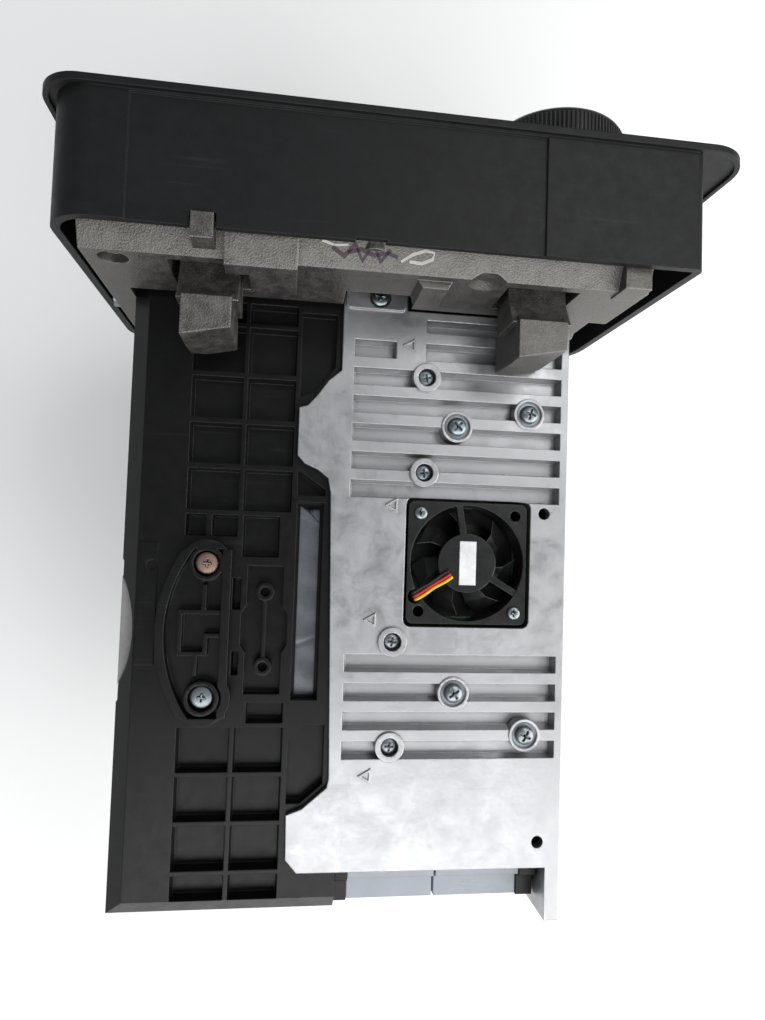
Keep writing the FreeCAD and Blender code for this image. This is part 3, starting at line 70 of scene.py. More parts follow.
# ---- camera, floor and light ----
def place_camera():
    data = bpy.data.cameras.new("bench_camera")
    data.lens = 24.753
    data.sensor_width = 36.0
    data.clip_start = 0.01
    data.clip_end = 20.0
    camera = bpy.data.objects.new("bench_camera", data)
    right = Vector((-0.99079, -0.03272, 0.13139))
    up = Vector((0.03872, -0.99831, 0.04337))
    back = Vector((0.12974, 0.04806, 0.99038))
    turn = Matrix((right, up, back)).transposed().to_4x4()
    camera.matrix_world = Matrix.Translation((0.02475, 0.11769, 0.24391)) @ turn
    scene.collection.objects.link(camera)
    scene.camera = camera


def lay_floor(material):
    mesh = bpy.data.meshes.new("bench_top")
    half = 4.0
    corners = [(-half, -half, FLOOR_Z), (half, -half, FLOOR_Z), (half, half, FLOOR_Z), (-half, half, FLOOR_Z)]
    mesh.from_pydata(corners, [], [(0, 1, 2, 3)])
    mesh.materials.append(material)
    bench = bpy.data.objects.new("bench_top", mesh)
    scene.collection.objects.link(bench)


def hang_light(name, place, target, size, power, tint=(1.0, 1.0, 1.0)):
    data = bpy.data.lights.new(name, "AREA")
    data.shape = "RECTANGLE"
    data.size, data.size_y = size
    data.energy = power
    data.color = tint
    lamp = bpy.data.objects.new(name, data)
    lamp.location = place
    aim = Vector(target) - Vector(place)
    lamp.rotation_mode = "QUATERNION"
    lamp.rotation_quaternion = aim.to_track_quat("-Z", "Y")
    scene.collection.objects.link(lamp)


def light_room():
    room = bpy.data.worlds.new("studio_room")
    room.use_nodes = True
    backdrop = room.node_tree.nodes["Background"]
    backdrop.inputs["Color"].default_value = (0.93, 0.96, 1.0, 1.0)
    backdrop.inputs["Strength"].default_value = 0.30
    scene.world = room
    middle = (0.0, 0.12, 0.0)
    hang_light("side_panel", (-0.90, 0.42, 0.42), middle, (1.0, 1.0), 12.0, (1.0, 0.99, 0.97))
    hang_light("rear_panel", (-0.05, 0.78, 0.80), middle, (0.9, 0.8), 8.0)
    hang_light("front_panel", (-0.40, -0.28, 0.82), middle, (0.45, 0.45), 2.4)
    scene.view_settings.view_transform = "Standard"
    scene.view_settings.look = "None"


# ---- node helpers ----
def place_node(tree, kind, inputs=(), **settings):
    """One node; inputs maps a socket's name or number to a value or to another node's socket."""
    made = tree.nodes.new(kind)
    for key, value in settings.items():
        setattr(made, key, value)
    for key, value in dict(inputs).items():
        if isinstance(value, bpy.types.NodeSocket):
            tree.links.new(value, made.inputs[key])
        else:
            made.inputs[key].default_value = value
    return made


def calculate(tree, operation, first, second=0.0, clamp=False):
    return place_node(tree, "ShaderNodeMath", {0: first, 1: second}, operation=operation, use_clamp=clamp).outputs[0]


def rescale(tree, value, low, high, to_low=0.0, to_high=1.0):
    made = place_node(tree, "ShaderNodeMapRange", {"Value": value, "From Min": low, "From Max": high,
                                                    "To Min": to_low, "To Max": to_high})
    made.clamp = True
    return made.outputs["Result"]


def blend_colour(tree, share, first, second, how="MIX"):
    made = place_node(tree, "ShaderNodeMix", {0: share, 6: first, 7: second}, data_type="RGBA", blend_type=how)
    return made.outputs[2]


def noise(tree, place, scale, detail=3.0, roughness=0.55, distortion=0.0):
    return place_node(tree, "ShaderNodeTexNoise", {"Vector": place, "Scale": scale, "Detail": detail,
                                                    "Roughness": roughness, "Distortion": distortion}).outputs["Fac"]


def start_group(name, inputs, outputs):
    group = bpy.data.node_groups.new(name, "ShaderNodeTree")
    for label, value in inputs:
        group.interface.new_socket(label, in_out="INPUT", socket_type="NodeSocketFloat").default_value = value
    for label in outputs:
        group.interface.new_socket(label, in_out="OUTPUT", socket_type="NodeSocketFloat")
    entry = group.nodes.new("NodeGroupInput").outputs
    leave = group.nodes.new("NodeGroupOutput").inputs
    place = place_node(group, "ShaderNodeTexCoord").outputs["Object"]
    return group, entry, leave, place


# ---- shared surface effects ----
def make_moulded_grain():
    """Fine spark-eroded grain of a moulding, with a slow waviness under it."""
    group, entry, leave, place = start_group("moulded_grain", [("Grain Size", 0.4), ("Waviness", 0.3)], ["Height", "Speckle"])
    frequency = calculate(group, "DIVIDE", 1000.0, entry["Grain Size"])
    fine = noise(group, place, frequency, 2.0, 0.6)
    slow = noise(group, place, 45.0, 2.0, 0.5)
    height = calculate(group, "ADD", fine, calculate(group, "MULTIPLY", slow, entry["Waviness"]))
    group.links.new(height, leave["Height"])
    group.links.new(rescale(group, noise(group, place, 260.0, 3.0, 0.7), 0.35, 0.75), leave["Speckle"])
    return group


def make_edge_rub():
    """Mask of outer edges rubbed bare, broken up along their length."""
    group, entry, leave, place = start_group("edge_rub", [("Width", 0.6), ("Break Up", 0.5), ("Gain", 4.0)], ["Mask"])
    radius = calculate(group, "MULTIPLY", entry["Width"], MM)
    rounded = place_node(group, "ShaderNodeBevel", {"Radius": radius}, samples=4).outputs["Normal"]
    flat = place_node(group, "ShaderNodeNewGeometry").outputs["Normal"]
    dot = place_node(group, "ShaderNodeVectorMath", {0: rounded, 1: flat}, operation="DOT_PRODUCT").outputs["Value"]
    turned = calculate(group, "MULTIPLY", calculate(group, "SUBTRACT", 1.0, dot), entry["Gain"], clamp=True)
    patchy = rescale(group, noise(group, place, 90.0, 5.0, 0.65), 0.4, 0.62)
    kept = calculate(group, "SUBTRACT", 1.0, calculate(group, "MULTIPLY", entry["Break Up"],
                                                       calculate(group, "SUBTRACT", 1.0, patchy)))
    group.links.new(calculate(group, "MULTIPLY", turned, kept, clamp=True), leave["Mask"])
    return group


def make_cloudy_stain():
    """Soft handling marks and flow marks, large and small."""
    group, entry, leave, place = start_group("cloudy_stain", [("Patch Size", 30.0), ("Contrast", 1.0)], ["Mask", "Fine Mask"])
    frequency = calculate(group, "DIVIDE", 1000.0, entry["Patch Size"])
    broad = noise(group, place, frequency, 5.0, 0.6, 0.8)
    small = noise(group, place, calculate(group, "MULTIPLY", frequency, 6.3), 6.0, 0.7, 0.4)
    low = calculate(group, "SUBTRACT", 0.5, calculate(group, "DIVIDE", 0.16, entry["Contrast"]))
    high = calculate(group, "ADD", 0.5, calculate(group, "DIVIDE", 0.16, entry["Contrast"]))
    group.links.new(rescale(group, broad, low, high), leave["Mask"])
    group.links.new(rescale(group, small, low, high), leave["Fine Mask"])
    return group


def make_fine_scratches():
    """Thin scratches in two directions."""
    group, entry, leave, place = start_group("fine_scratches", [("Density", 0.5)], ["Mask"])
    layers = []
    for turn, stretch in ((0.35, (18.0, 700.0, 40.0)), (1.25, (12.0, 560.0, 30.0))):
        laid = place_node(group, "ShaderNodeMapping", {"Vector": place, "Rotation": (0.0, 0.0, turn),
                                                        "Scale": stretch}).outputs["Vector"]
        line = noise(group, laid, 1.0, 2.0, 0.5, 0.15)
        layers.append(rescale(group, line, 0.66, 0.72))
    both = calculate(group, "MAXIMUM", layers[0], layers[1])
    broken = rescale(group, noise(group, place, 35.0, 2.0), 0.5, 0.6)
    scaled = calculate(group, "MULTIPLY", calculate(group, "MULTIPLY", both, broken), entry["Density"], clamp=True)
    group.links.new(scaled, leave["Mask"])
    return group


def make_cast_skin():
    """Skin of a die casting: sand-like pits, shallow flow ripples, and bright specks painted into the colour as glints.
    """
    group, entry, leave, place = start_group("cast_skin", [("Pit Size", 0.7), ("Ripple", 0.4)], ["Height", "Painted Glints"])
    frequency = calculate(group, "DIVIDE", 1000.0, entry["Pit Size"])
    pits = place_node(group, "ShaderNodeTexVoronoi", {"Vector": place, "Scale": frequency, "Randomness": 1.0},
                      feature="SMOOTH_F1").outputs["Distance"]
    gravel = noise(group, place, frequency, 4.0, 0.65)
    ripple = noise(group, place, 120.0, 3.0, 0.5, 1.4)
    height = calculate(group, "ADD", calculate(group, "ADD", pits, gravel), calculate(group, "MULTIPLY", ripple, entry["Ripple"]))
    group.links.new(height, leave["Height"])
    # painted glints: a speckle mask that lightens tiny spots of the colour
    group.links.new(rescale(group, noise(group, place, calculate(group, "MULTIPLY", frequency, 1.4), 1.0), 0.6, 0.75),
                    leave["Painted Glints"])
    return group


def make_recess_grime_and_shade():
    """Mask of recesses and inner corners from ambient occlusion: painted shade there, with some grime."""
    group, entry, leave, place = start_group("recess_grime_and_shade", [("Reach", 4.0), ("Amount", 1.0)], ["Mask"])
    distance = calculate(group, "MULTIPLY", entry["Reach"], MM)
    # ambient occlusion finds where shade falls, so this mask paints shade into recesses and corners along with grime
    open_sky = place_node(group, "ShaderNodeAmbientOcclusion", {"Distance": distance}, samples=6).outputs["AO"]
    patchy = rescale(group, noise(group, place, 70.0, 5.0, 0.6), 0.3, 0.7, 0.55, 1.0)
    shade = calculate(group, "MULTIPLY", rescale(group, open_sky, 0.85, 0.25), patchy)
    group.links.new(calculate(group, "MULTIPLY", shade, entry["Amount"], clamp=True), leave["Mask"])
    return group


GRAIN = make_moulded_grain()
EDGES = make_edge_rub()
STAIN = make_cloudy_stain()
SCRATCHES = make_fine_scratches()
CAST = make_cast_skin()
RECESS_GRIME_AND_SHADE = make_recess_grime_and_shade()


def use(tree, group, **inputs):
    made = tree.nodes.new("ShaderNodeGroup")
    made.node_tree = group
    for key, value in inputs.items():
        made.inputs[key.replace("_", " ")].default_value = value
    return made.outputs


def start_material(name):
    material = bpy.data.materials.new(name)
    material.use_nodes = True
    tree = material.node_tree
    shader = tree.nodes["Principled BSDF"]
    return material, tree, shader


def raise_surface(tree, shader, height, strength, distance_mm, edge_mm=0.5):
    """Fine relief on top of edges that look rounded to edge_mm."""
    rounded = place_node(tree, "ShaderNodeBevel", {"Radius": edge_mm * MM}, samples=4).outputs["Normal"]
    bump = place_node(tree, "ShaderNodeBump", {"Height": height, "Strength": strength, "Distance": distance_mm * MM,
                                                "Normal": rounded})
    tree.links.new(bump.outputs["Normal"], shader.inputs["Normal"])


def shade(colour, factor):
    return tuple(c * factor for c in colour) + (1.0,)


# ---- finishes ----
def plastic(name, colour, roughness=0.45, grain=0.35, depth=0.5, rub=0.5, rub_colour=(0.07, 0.07, 0.075), gloss=0.35,
            scratch=0.15, grime_and_shade_amount=0.35, grime_and_shade_colour=(0.02, 0.019, 0.018)):
    material, tree, shader = start_material(name)
    shader.inputs["Specular IOR Level"].default_value = gloss
    grained = use(tree, GRAIN, Grain_Size=grain, Waviness=0.3)
    stained = use(tree, STAIN, Patch_Size=26.0, Contrast=0.9)
    scratched = use(tree, SCRATCHES, Density=0.6)
    rubbed = use(tree, EDGES, Width=0.45, Break_Up=0.6, Gain=3.0)
    grime_and_shade = use(tree, RECESS_GRIME_AND_SHADE, Reach=3.0, Amount=grime_and_shade_amount)
    base = blend_colour(tree, grained["Speckle"], shade(colour, 0.85), shade(colour, 1.2))
    base = blend_colour(tree, calculate(tree, "MULTIPLY", stained["Mask"], 0.5), base, shade(colour, 1.5))
    base = blend_colour(tree, calculate(tree, "MULTIPLY", scratched["Mask"], scratch), base, shade(rub_colour, 1.0))
    # painted shade with grime: recesses and inner corners blend towards the grime-and-shade colour
    base = blend_colour(tree, calculate(tree, "MULTIPLY", grime_and_shade["Mask"], 0.6), base, shade(grime_and_shade_colour, 1.0))
    base = blend_colour(tree, calculate(tree, "MULTIPLY", rubbed["Mask"], rub), base, shade(rub_colour, 1.0))
    tree.links.new(base, shader.inputs["Base Color"])
    dull = calculate(tree, "ADD", roughness - 0.06, calculate(tree, "MULTIPLY", stained["Fine Mask"], 0.12))
    tree.links.new(calculate(tree, "SUBTRACT", dull, calculate(tree, "MULTIPLY", rubbed["Mask"], 0.1)), shader.inputs["Roughness"])
    raise_surface(tree, shader, grained["Height"], depth, 0.05)
    return material


def die_cast(name, colour, bright, pit, depth, roughness, metal=0.9, stain_size=28.0, painted_glint_share=0.35, grime_and_shade_amount=0.7,
             grime_and_shade_colour=(0.08, 0.07, 0.055), grime_and_shade_reach=5.0):
    material, tree, shader = start_material(name)
    skin = use(tree, CAST, Pit_Size=pit, Ripple=0.8)
    stained = use(tree, STAIN, Patch_Size=stain_size, Contrast=1.0)
    scratched = use(tree, SCRATCHES, Density=0.8)
    rubbed = use(tree, EDGES, Width=0.7, Break_Up=0.45, Gain=3.5)
    grime_and_shade = use(tree, RECESS_GRIME_AND_SHADE, Reach=grime_and_shade_reach, Amount=grime_and_shade_amount)
    base = blend_colour(tree, stained["Mask"], shade(colour, 0.92), shade(colour, 1.06))
    base = blend_colour(tree, calculate(tree, "MULTIPLY", stained["Fine Mask"], 0.3), base, shade(bright, 0.95))
    # painted glints: tiny specks blend towards the bright colour
    base = blend_colour(tree, calculate(tree, "MULTIPLY", skin["Painted Glints"], painted_glint_share), base, shade(bright, 1.0))
    # painted shade with grime: recesses and inner corners blend towards the grime-and-shade colour
    base = blend_colour(tree, calculate(tree, "MULTIPLY", grime_and_shade["Mask"], 0.8), base, shade(grime_and_shade_colour, 1.0))
    base = blend_colour(tree, calculate(tree, "MULTIPLY", rubbed["Mask"], 0.7), base, shade(bright, 1.0))
    tree.links.new(base, shader.inputs["Base Color"])
    shader.inputs["Metallic"].default_value = metal
    dull = calculate(tree, "ADD", roughness - 0.08, calculate(tree, "MULTIPLY", stained["Fine Mask"], 0.2))
    dull = calculate(tree, "SUBTRACT", dull, calculate(tree, "MULTIPLY", rubbed["Mask"], 0.15))
    tree.links.new(calculate(tree, "ADD", dull, calculate(tree, "MULTIPLY", scratched["Mask"], 0.12)), shader.inputs["Roughness"])
    raise_surface(tree, shader, skin["Height"], depth, 0.1)
    return material


def plated(name, colour, tint, roughness=0.22):
    """Plated or turned metal: slight colour bloom and rubbed edges."""
    material, tree, shader = start_material(name)
    stained = use(tree, STAIN, Patch_Size=4.0, Contrast=0.8)
    rubbed = use(tree, EDGES, Width=0.25, Break_Up=0.3, Gain=3.0)
    grime_and_shade = use(tree, RECESS_GRIME_AND_SHADE, Reach=1.2, Amount=0.8)
    base = blend_colour(tree, stained["Mask"], shade(colour, 1.0), shade(tint, 1.0))
    # painted shade with grime: recesses and inner corners darken to a quarter of the metal colour
    base = blend_colour(tree, grime_and_shade["Mask"], base, shade(colour, 0.25))
    base = blend_colour(tree, rubbed["Mask"], base, shade(colour, 1.15))
    tree.links.new(base, shader.inputs["Base Color"])
    shader.inputs["Metallic"].default_value = 1.0
    tree.links.new(rescale(tree, stained["Fine Mask"], 0.0, 1.0, roughness, roughness + 0.16), shader.inputs["Roughness"])
    raise_surface(tree, shader, stained["Fine Mask"], 0.15, 0.03)
    return material


def clear(name, colour, roughness=0.12, see_through=0.75):
    material, tree, shader = start_material(name)
    stained = use(tree, STAIN, Patch_Size=9.0, Contrast=0.7)
    scratched = use(tree, SCRATCHES, Density=0.8)
    base = blend_colour(tree, stained["Mask"], shade(colour, 0.92), shade(colour, 1.05))
    tree.links.new(base, shader.inputs["Base Color"])
    shader.inputs["Transmission Weight"].default_value = see_through
    shader.inputs["IOR"].default_value = 1.49
    haze = calculate(tree, "ADD", roughness, calculate(tree, "MULTIPLY", scratched["Mask"], 0.3))
    tree.links.new(calculate(tree, "ADD", haze, calculate(tree, "MULTIPLY", stained["Fine Mask"], 0.08)), shader.inputs["Roughness"])
    raise_surface(tree, shader, stained["Fine Mask"], 0.1, 0.05)
    return material


def bench_finish():
    material, tree, shader = start_material("pale_bench")
    shader.inputs["Specular IOR Level"].default_value = 0.1
    stained = use(tree, STAIN, Patch_Size=400.0, Contrast=0.6)
    tree.links.new(blend_colour(tree, stained["Mask"], (0.93, 0.93, 0.93, 1.0), (0.96, 0.96, 0.955, 1.0)), shader.inputs["Base Color"])
    shader.inputs["Roughness"].default_value = 0.8
    return material


FINISH = {
    "bezel_black": plastic("bezel_black", (0.0075, 0.0077, 0.0082), 0.5, 0.3, 0.5, 0.35, gloss=0.22),
    "mouth_black": plastic("mouth_black", (0.009, 0.009, 0.010), 0.4, 0.3, 0.3, 0.3),
    "clear_green": clear("clear_green", (0.55, 0.78, 0.62)),
    "knob_black": plastic("knob_black", (0.008, 0.008, 0.0085), 0.34, 0.25, 0.3, 0.8, (0.14, 0.14, 0.14)),
    "grey_plastic": plastic("grey_plastic", (0.24, 0.242, 0.235), 0.42, 0.35, 0.4, 0.3, (0.36, 0.36, 0.36)),
    "shaft_steel": plated("shaft_steel", (0.55, 0.55, 0.56), (0.48, 0.47, 0.46), 0.24),
    "brass_bush": plated("brass_bush", (0.70, 0.52, 0.27), (0.62, 0.44, 0.22), 0.3),
    "die_cast_grey": die_cast("die_cast_grey", (0.10, 0.096, 0.088), (0.36, 0.355, 0.34), 0.45, 1.0, 0.46, 0.8, grime_and_shade_colour=(0.03, 0.027, 0.022)),
    "zinc_screw": plated("zinc_screw", (0.25, 0.285, 0.33), (0.22, 0.24, 0.23), 0.26),
    "copper_screw": plated("copper_screw", (0.33, 0.20, 0.165), (0.30, 0.23, 0.205), 0.36),
    "cast_aluminium": die_cast("cast_aluminium", (0.37, 0.374, 0.385), (0.45, 0.456, 0.47), 1.6, 0.2, 0.38, 0.88, 60.0, 0.12, 0.7,
                               (0.10, 0.085, 0.07), 2.4),
    "housing_black": plastic("housing_black", (0.0035, 0.0035, 0.0037), 0.34, 0.4, 0.3, 0.45, (0.06, 0.06, 0.063), gloss=0.22),
    "path_plastic": plastic("path_plastic", (0.03, 0.03, 0.033), 0.25, 0.5, 0.15, 0.3),
    "flex_blue": plastic("flex_blue", (0.085, 0.092, 0.105), 0.3, 0.8, 0.2, 0.2, (0.2, 0.2, 0.22), gloss=0.5),
    "fan_black": plastic("fan_black", (0.007, 0.0072, 0.0076), 0.3, 0.35, 0.25, 0.5, (0.05, 0.05, 0.05), gloss=0.4),
    "label_white": plastic("label_white", (0.62, 0.63, 0.64), 0.5, 0.25, 0.15, 0.1, (0.7, 0.7, 0.7)),
    "circuit_board": plastic("circuit_board", (0.02, 0.10, 0.045), 0.3, 0.8, 0.3, 0.2, (0.1, 0.2, 0.12)),
    "chip_black": plastic("chip_black", (0.010, 0.010, 0.010), 0.5, 0.2, 0.4, 0.2),
    "sensor_clear": clear("sensor_clear", (0.30, 0.03, 0.04), 0.1, 0.5),
    "connector_plastic": plastic("connector_plastic", (0.60, 0.57, 0.47), 0.45, 0.4, 0.3, 0.2, (0.7, 0.68, 0.6)),
    "clear_blue": clear("clear_blue", (0.42, 0.46, 0.52), 0.15, 0.4),
    "motor_can": plated("motor_can", (0.52, 0.52, 0.53), (0.45, 0.45, 0.46), 0.3),
    "gear_white": plastic("gear_white", (0.62, 0.60, 0.55), 0.38, 0.5, 0.2, 0.2, (0.7, 0.69, 0.64)),
    "belt_rubber": plastic("belt_rubber", (0.010, 0.010, 0.010), 0.65, 0.5, 0.6, 0.2),
    "roller_rubber": plastic("roller_rubber", (0.04, 0.037, 0.034), 0.6, 0.5, 0.7, 0.3, (0.08, 0.075, 0.07)),
    "lead_sleeve": plastic("lead_red", (0.42, 0.012, 0.015), 0.35, 0.5, 0.15, 0.1, (0.5, 0.1, 0.08)),
}
LEAD_FINISH = [
    plastic("lead_black", (0.012, 0.012, 0.012), 0.35, 0.5, 0.15, 0.1),
    FINISH["lead_sleeve"],
    plastic("lead_yellow", (0.55, 0.42, 0.02), 0.35, 0.5, 0.15, 0.1, (0.6, 0.5, 0.2)),
]

SLOT_OF = {entry["node"]: entry["material_slot"] for entry in frame["record"]["subparts"]}
BODY_OF = {node: body for body, nodes in frame["record"]["behaviour"]["bodies"].items() for node in nodes}


def finish_cad_nodes():
    for name, node in frame["nodes"].items():
        node.data.materials.clear()
        node.data.materials.append(FINISH[SLOT_OF[name]])


# ---- pieces made from the CAD solids, with softened edges ----
def keep(name, mesh, node, material=None, stands_for=True):
    """A finished mesh becomes a piece that rides with a CAD node's body and takes its slot."""
    piece = bpy.data.objects.new(name, mesh)
    scene.collection.objects.link(piece)
    mesh.materials.clear()
    mesh.materials.append(material or FINISH[SLOT_OF[node]])
    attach(piece, BODY_OF[node])
    if stands_for:
        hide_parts(node)
    return piece


def settle(work, name):
    """The evaluated object as a plain mesh."""
    view = bpy.context.evaluated_depsgraph_get()
    mesh = bpy.data.meshes.new_from_object(work.evaluated_get(view), depsgraph=view)
    mesh.name = name
    bpy.data.objects.remove(work)
    return mesh


def soften(node, name, width_mm, segments=2, angle=32.0):
    mesh = bpy.data.meshes.new(name)
    shell = bmesh.new()
    shell.from_mesh(frame["nodes"][node].data)
    bmesh.ops.remove_doubles(shell, verts=shell.verts, dist=0.002 * MM)
    shell.to_mesh(mesh)
    shell.free()
    mesh.shade_smooth()
    mesh.set_sharp_from_angle(angle=math.radians(50.0))
    work = bpy.data.objects.new(name, mesh)
    scene.collection.objects.link(work)
    bevel = work.modifiers.new("soft edges", "BEVEL")
    bevel.width = width_mm * MM
    bevel.segments = segments
    bevel.limit_method = "ANGLE"
    bevel.angle_limit = math.radians(angle)
    bevel.miter_outer = "MITER_ARC"
    bevel.use_clamp_overlap = True
    weigh = work.modifiers.new("flat faces", "WEIGHTED_NORMAL")
    weigh.keep_sharp = True
    return keep(name, settle(work, name), node)


SOFTENED = [
    ("front_bezel", "bezel_shell", 0.45),
    ("mounting_bracket", "bracket_casting", 0.7),
    ("latch_slide", "latch_casting", 0.55),
    ("heat_sink_plate", "heat_sink_casting", 0.55),
    ("upper_housing", "ribbed_housing", 0.35),
    ("side_foot", "screwed_foot", 0.4),
    ("fan_frame", "fan_surround", 0.3),
    ("release_button", "grey_button", 0.2),
    ("path_tray", "swing_tray", 0.5),
    ("rear_frame", "rear_end_frame", 0.4),
    ("mouth_insert", "mouth_moulding", 0.4),
    ("rear_light_guide", "rear_prism", 0.25),
    ("light_guide_caps", "prism_caps", 0.3),
    ("rear_connector", "rear_socket", 0.2),
]


# ---- pieces grown by geometry nodes ----
def start_tree(name, inputs):
    tree = bpy.data.node_groups.new(name, "GeometryNodeTree")
    tree.interface.new_socket("Geometry", in_out="INPUT", socket_type="NodeSocketGeometry")
    for label, kind, value in inputs:
        socket = tree.interface.new_socket(label, in_out="INPUT", socket_type=kind)
        if value is not None:
            socket.default_value = value
    tree.interface.new_socket("Geometry", in_out="OUTPUT", socket_type="NodeSocketGeometry")
    return tree, tree.nodes.new("NodeGroupInput").outputs, tree.nodes.new("NodeGroupOutput").inputs


def vector_of(tree, x=0.0, y=0.0, z=0.0):
    return place_node(tree, "ShaderNodeCombineXYZ", {0: x, 1: y, 2: z}).outputs[0]


def shifted(tree, geometry, x=0.0, y=0.0, z=0.0):
    return place_node(tree, "GeometryNodeTransform", {"Geometry": geometry, "Translation": vector_of(tree, x, y, z)}).outputs[0]


def join(tree, parts):
    made = tree.nodes.new("GeometryNodeJoinGeometry")
    for part in parts:
        tree.links.new(part, made.inputs[0])
    return made.outputs[0]


def close_tree(tree, geometry, entry, leave):
    real = place_node(tree, "GeometryNodeRealizeInstances", {"Geometry": geometry}).outputs[0]
    painted = place_node(tree, "GeometryNodeSetMaterial", {"Geometry": real, "Material": entry["Material"]}).outputs[0]
    tree.links.new(painted, leave[0])
    return tree


def cylinder(tree, radius, depth, sides, x=0.0, z=0.0):
    """A closed drum standing on height z."""
    drum = place_node(tree, "GeometryNodeMeshCylinder", {"Vertices": sides, "Radius": radius, "Depth": depth}).outputs["Mesh"]
    middle = calculate(tree, "ADD", z, calculate(tree, "MULTIPLY", depth, 0.5))
    return shifted(tree, drum, x=x, z=middle)


def make_screw_tree():
    """Domed cross-recessed screws with a washer, one at each vertex of the input mesh."""
    tree, entry, leave = start_tree("cross_head_screws", [
        ("Head Radius", "NodeSocketFloat", 3.0 * MM), ("Head Height", "NodeSocketFloat", 2.0 * MM),
        ("Washer Radius", "NodeSocketFloat", 4.0 * MM), ("Washer Height", "NodeSocketFloat", 0.6 * MM),
        ("Recess Reach", "NodeSocketFloat", 1.7 * MM), ("Recess Width", "NodeSocketFloat", 0.75 * MM),
        ("Shank Radius", "NodeSocketFloat", 1.25 * MM), ("Shank Length", "NodeSocketFloat", 8.0 * MM),
        ("Turn Seed", "NodeSocketInt", 3), ("Material", "NodeSocketMaterial", None)])
    washer = cylinder(tree, entry["Washer Radius"], entry["Washer Height"], 36)
    rim = calculate(tree, "MULTIPLY", entry["Head Height"], 0.5)
    drum = cylinder(tree, entry["Head Radius"], rim, 32, z=calculate(tree, "MULTIPLY", entry["Washer Height"], 0.9))
    ball = place_node(tree, "GeometryNodeMeshUVSphere", {"Segments": 32, "Rings": 16, "Radius": entry["Head Radius"]}).outputs["Mesh"]
    squash = calculate(tree, "DIVIDE", calculate(tree, "MULTIPLY", entry["Head Height"], 0.5), entry["Head Radius"])
    dome = place_node(tree, "GeometryNodeTransform", {"Geometry": ball, "Scale": vector_of(tree, 1.0, 1.0, squash)}).outputs[0]
    dome = shifted(tree, dome, z=calculate(tree, "ADD", rim, calculate(tree, "MULTIPLY", entry["Washer Height"], 0.9)))
    arms = []
    top = calculate(tree, "ADD", entry["Head Height"], entry["Washer Height"])
    for across in (False, True):
        long_side = calculate(tree, "MULTIPLY", entry["Recess Reach"], 2.0)
        sides = (entry["Recess Width"], long_side) if across else (long_side, entry["Recess Width"])
        cube = place_node(tree, "GeometryNodeMeshCube", {"Size": vector_of(tree, sides[0], sides[1], entry["Head Height"])})
        arms.append(shifted(tree, cube.outputs["Mesh"], z=top))
    solid = tree.nodes.new("GeometryNodeMeshBoolean")
    solid.operation = "UNION"
    for part in (drum, dome):
        tree.links.new(part, solid.inputs["Mesh 2"])
    cut = tree.nodes.new("GeometryNodeMeshBoolean")
    cut.operation = "DIFFERENCE"
    tree.links.new(solid.outputs[0], cut.inputs["Mesh 1"])
    for part in arms:
        tree.links.new(part, cut.inputs["Mesh 2"])
    shank = cylinder(tree, entry["Shank Radius"], entry["Shank Length"], 16,
                     z=calculate(tree, "MULTIPLY", entry["Shank Length"], -1.0))
    whole = join(tree, [washer, cut.outputs[0], shank])
    spin = place_node(tree, "FunctionNodeRandomValue", {2: 0.0, 3: math.tau, "Seed": entry["Turn Seed"]}, data_type="FLOAT")
    placed = place_node(tree, "GeometryNodeInstanceOnPoints", {"Points": entry["Geometry"], "Instance": whole,
                                                                "Rotation": vector_of(tree, z=spin.outputs[1])})
    return close_tree(tree, placed.outputs[0], entry, leave)


def make_knurl_tree():
    """Straight round-backed ribs standing on a rim; the rim's axis is Y and its middle is the input mesh's vertex."""
    tree, entry, leave = start_tree("knurled_rim", [
        ("Rim Radius", "NodeSocketFloat", 21.0 * MM), ("Rib Count", "NodeSocketInt", 110),
        ("Rib Radius", "NodeSocketFloat", 0.4 * MM), ("Rib Length", "NodeSocketFloat", 9.0 * MM),
        ("Material", "NodeSocketMaterial", None)])
    ring = place_node(tree, "GeometryNodeMeshCircle", {"Vertices": entry["Rib Count"], "Radius": entry["Rim Radius"]}).outputs["Mesh"]
    upright = place_node(tree, "GeometryNodeTransform", {"Geometry": ring, "Rotation": (math.radians(90.0), 0.0, 0.0)}).outputs[0]
    rib = place_node(tree, "GeometryNodeMeshCylinder", {"Vertices": 8, "Radius": entry["Rib Radius"], "Depth": entry["Rib Length"]})
    laid = place_node(tree, "GeometryNodeTransform", {"Geometry": rib.outputs["Mesh"],
                                                       "Rotation": (math.radians(90.0), 0.0, 0.0)}).outputs[0]
    ribs = place_node(tree, "GeometryNodeInstanceOnPoints", {"Points": upright, "Instance": laid}).outputs[0]
    placed = place_node(tree, "GeometryNodeInstanceOnPoints", {"Points": entry["Geometry"], "Instance": ribs}).outputs[0]
    return close_tree(tree, placed, entry, leave)


def grow(name, tree, points, values):
    """Runs a geometry-node tree on a set of points and returns the result as a plain mesh."""
    seats = bpy.data.meshes.new(name + "_seats")
    seats.from_pydata(points, [], [])
    work = bpy.data.objects.new(name, seats)
    scene.collection.objects.link(work)
    step = work.modifiers.new("grow", "NODES")
    step.node_group = tree
    for item in tree.interface.items_tree:
        if item.item_type == "SOCKET" and item.in_out == "INPUT" and item.name in values:
            step[item.identifier] = values[item.name]
    mesh = settle(work, name)
    bpy.data.meshes.remove(seats)
    mesh.shade_smooth()
    mesh.set_sharp_from_angle(angle=math.radians(35.0))
    return mesh


SCREW_TREE = make_screw_tree()
KNURL_TREE = make_knurl_tree()


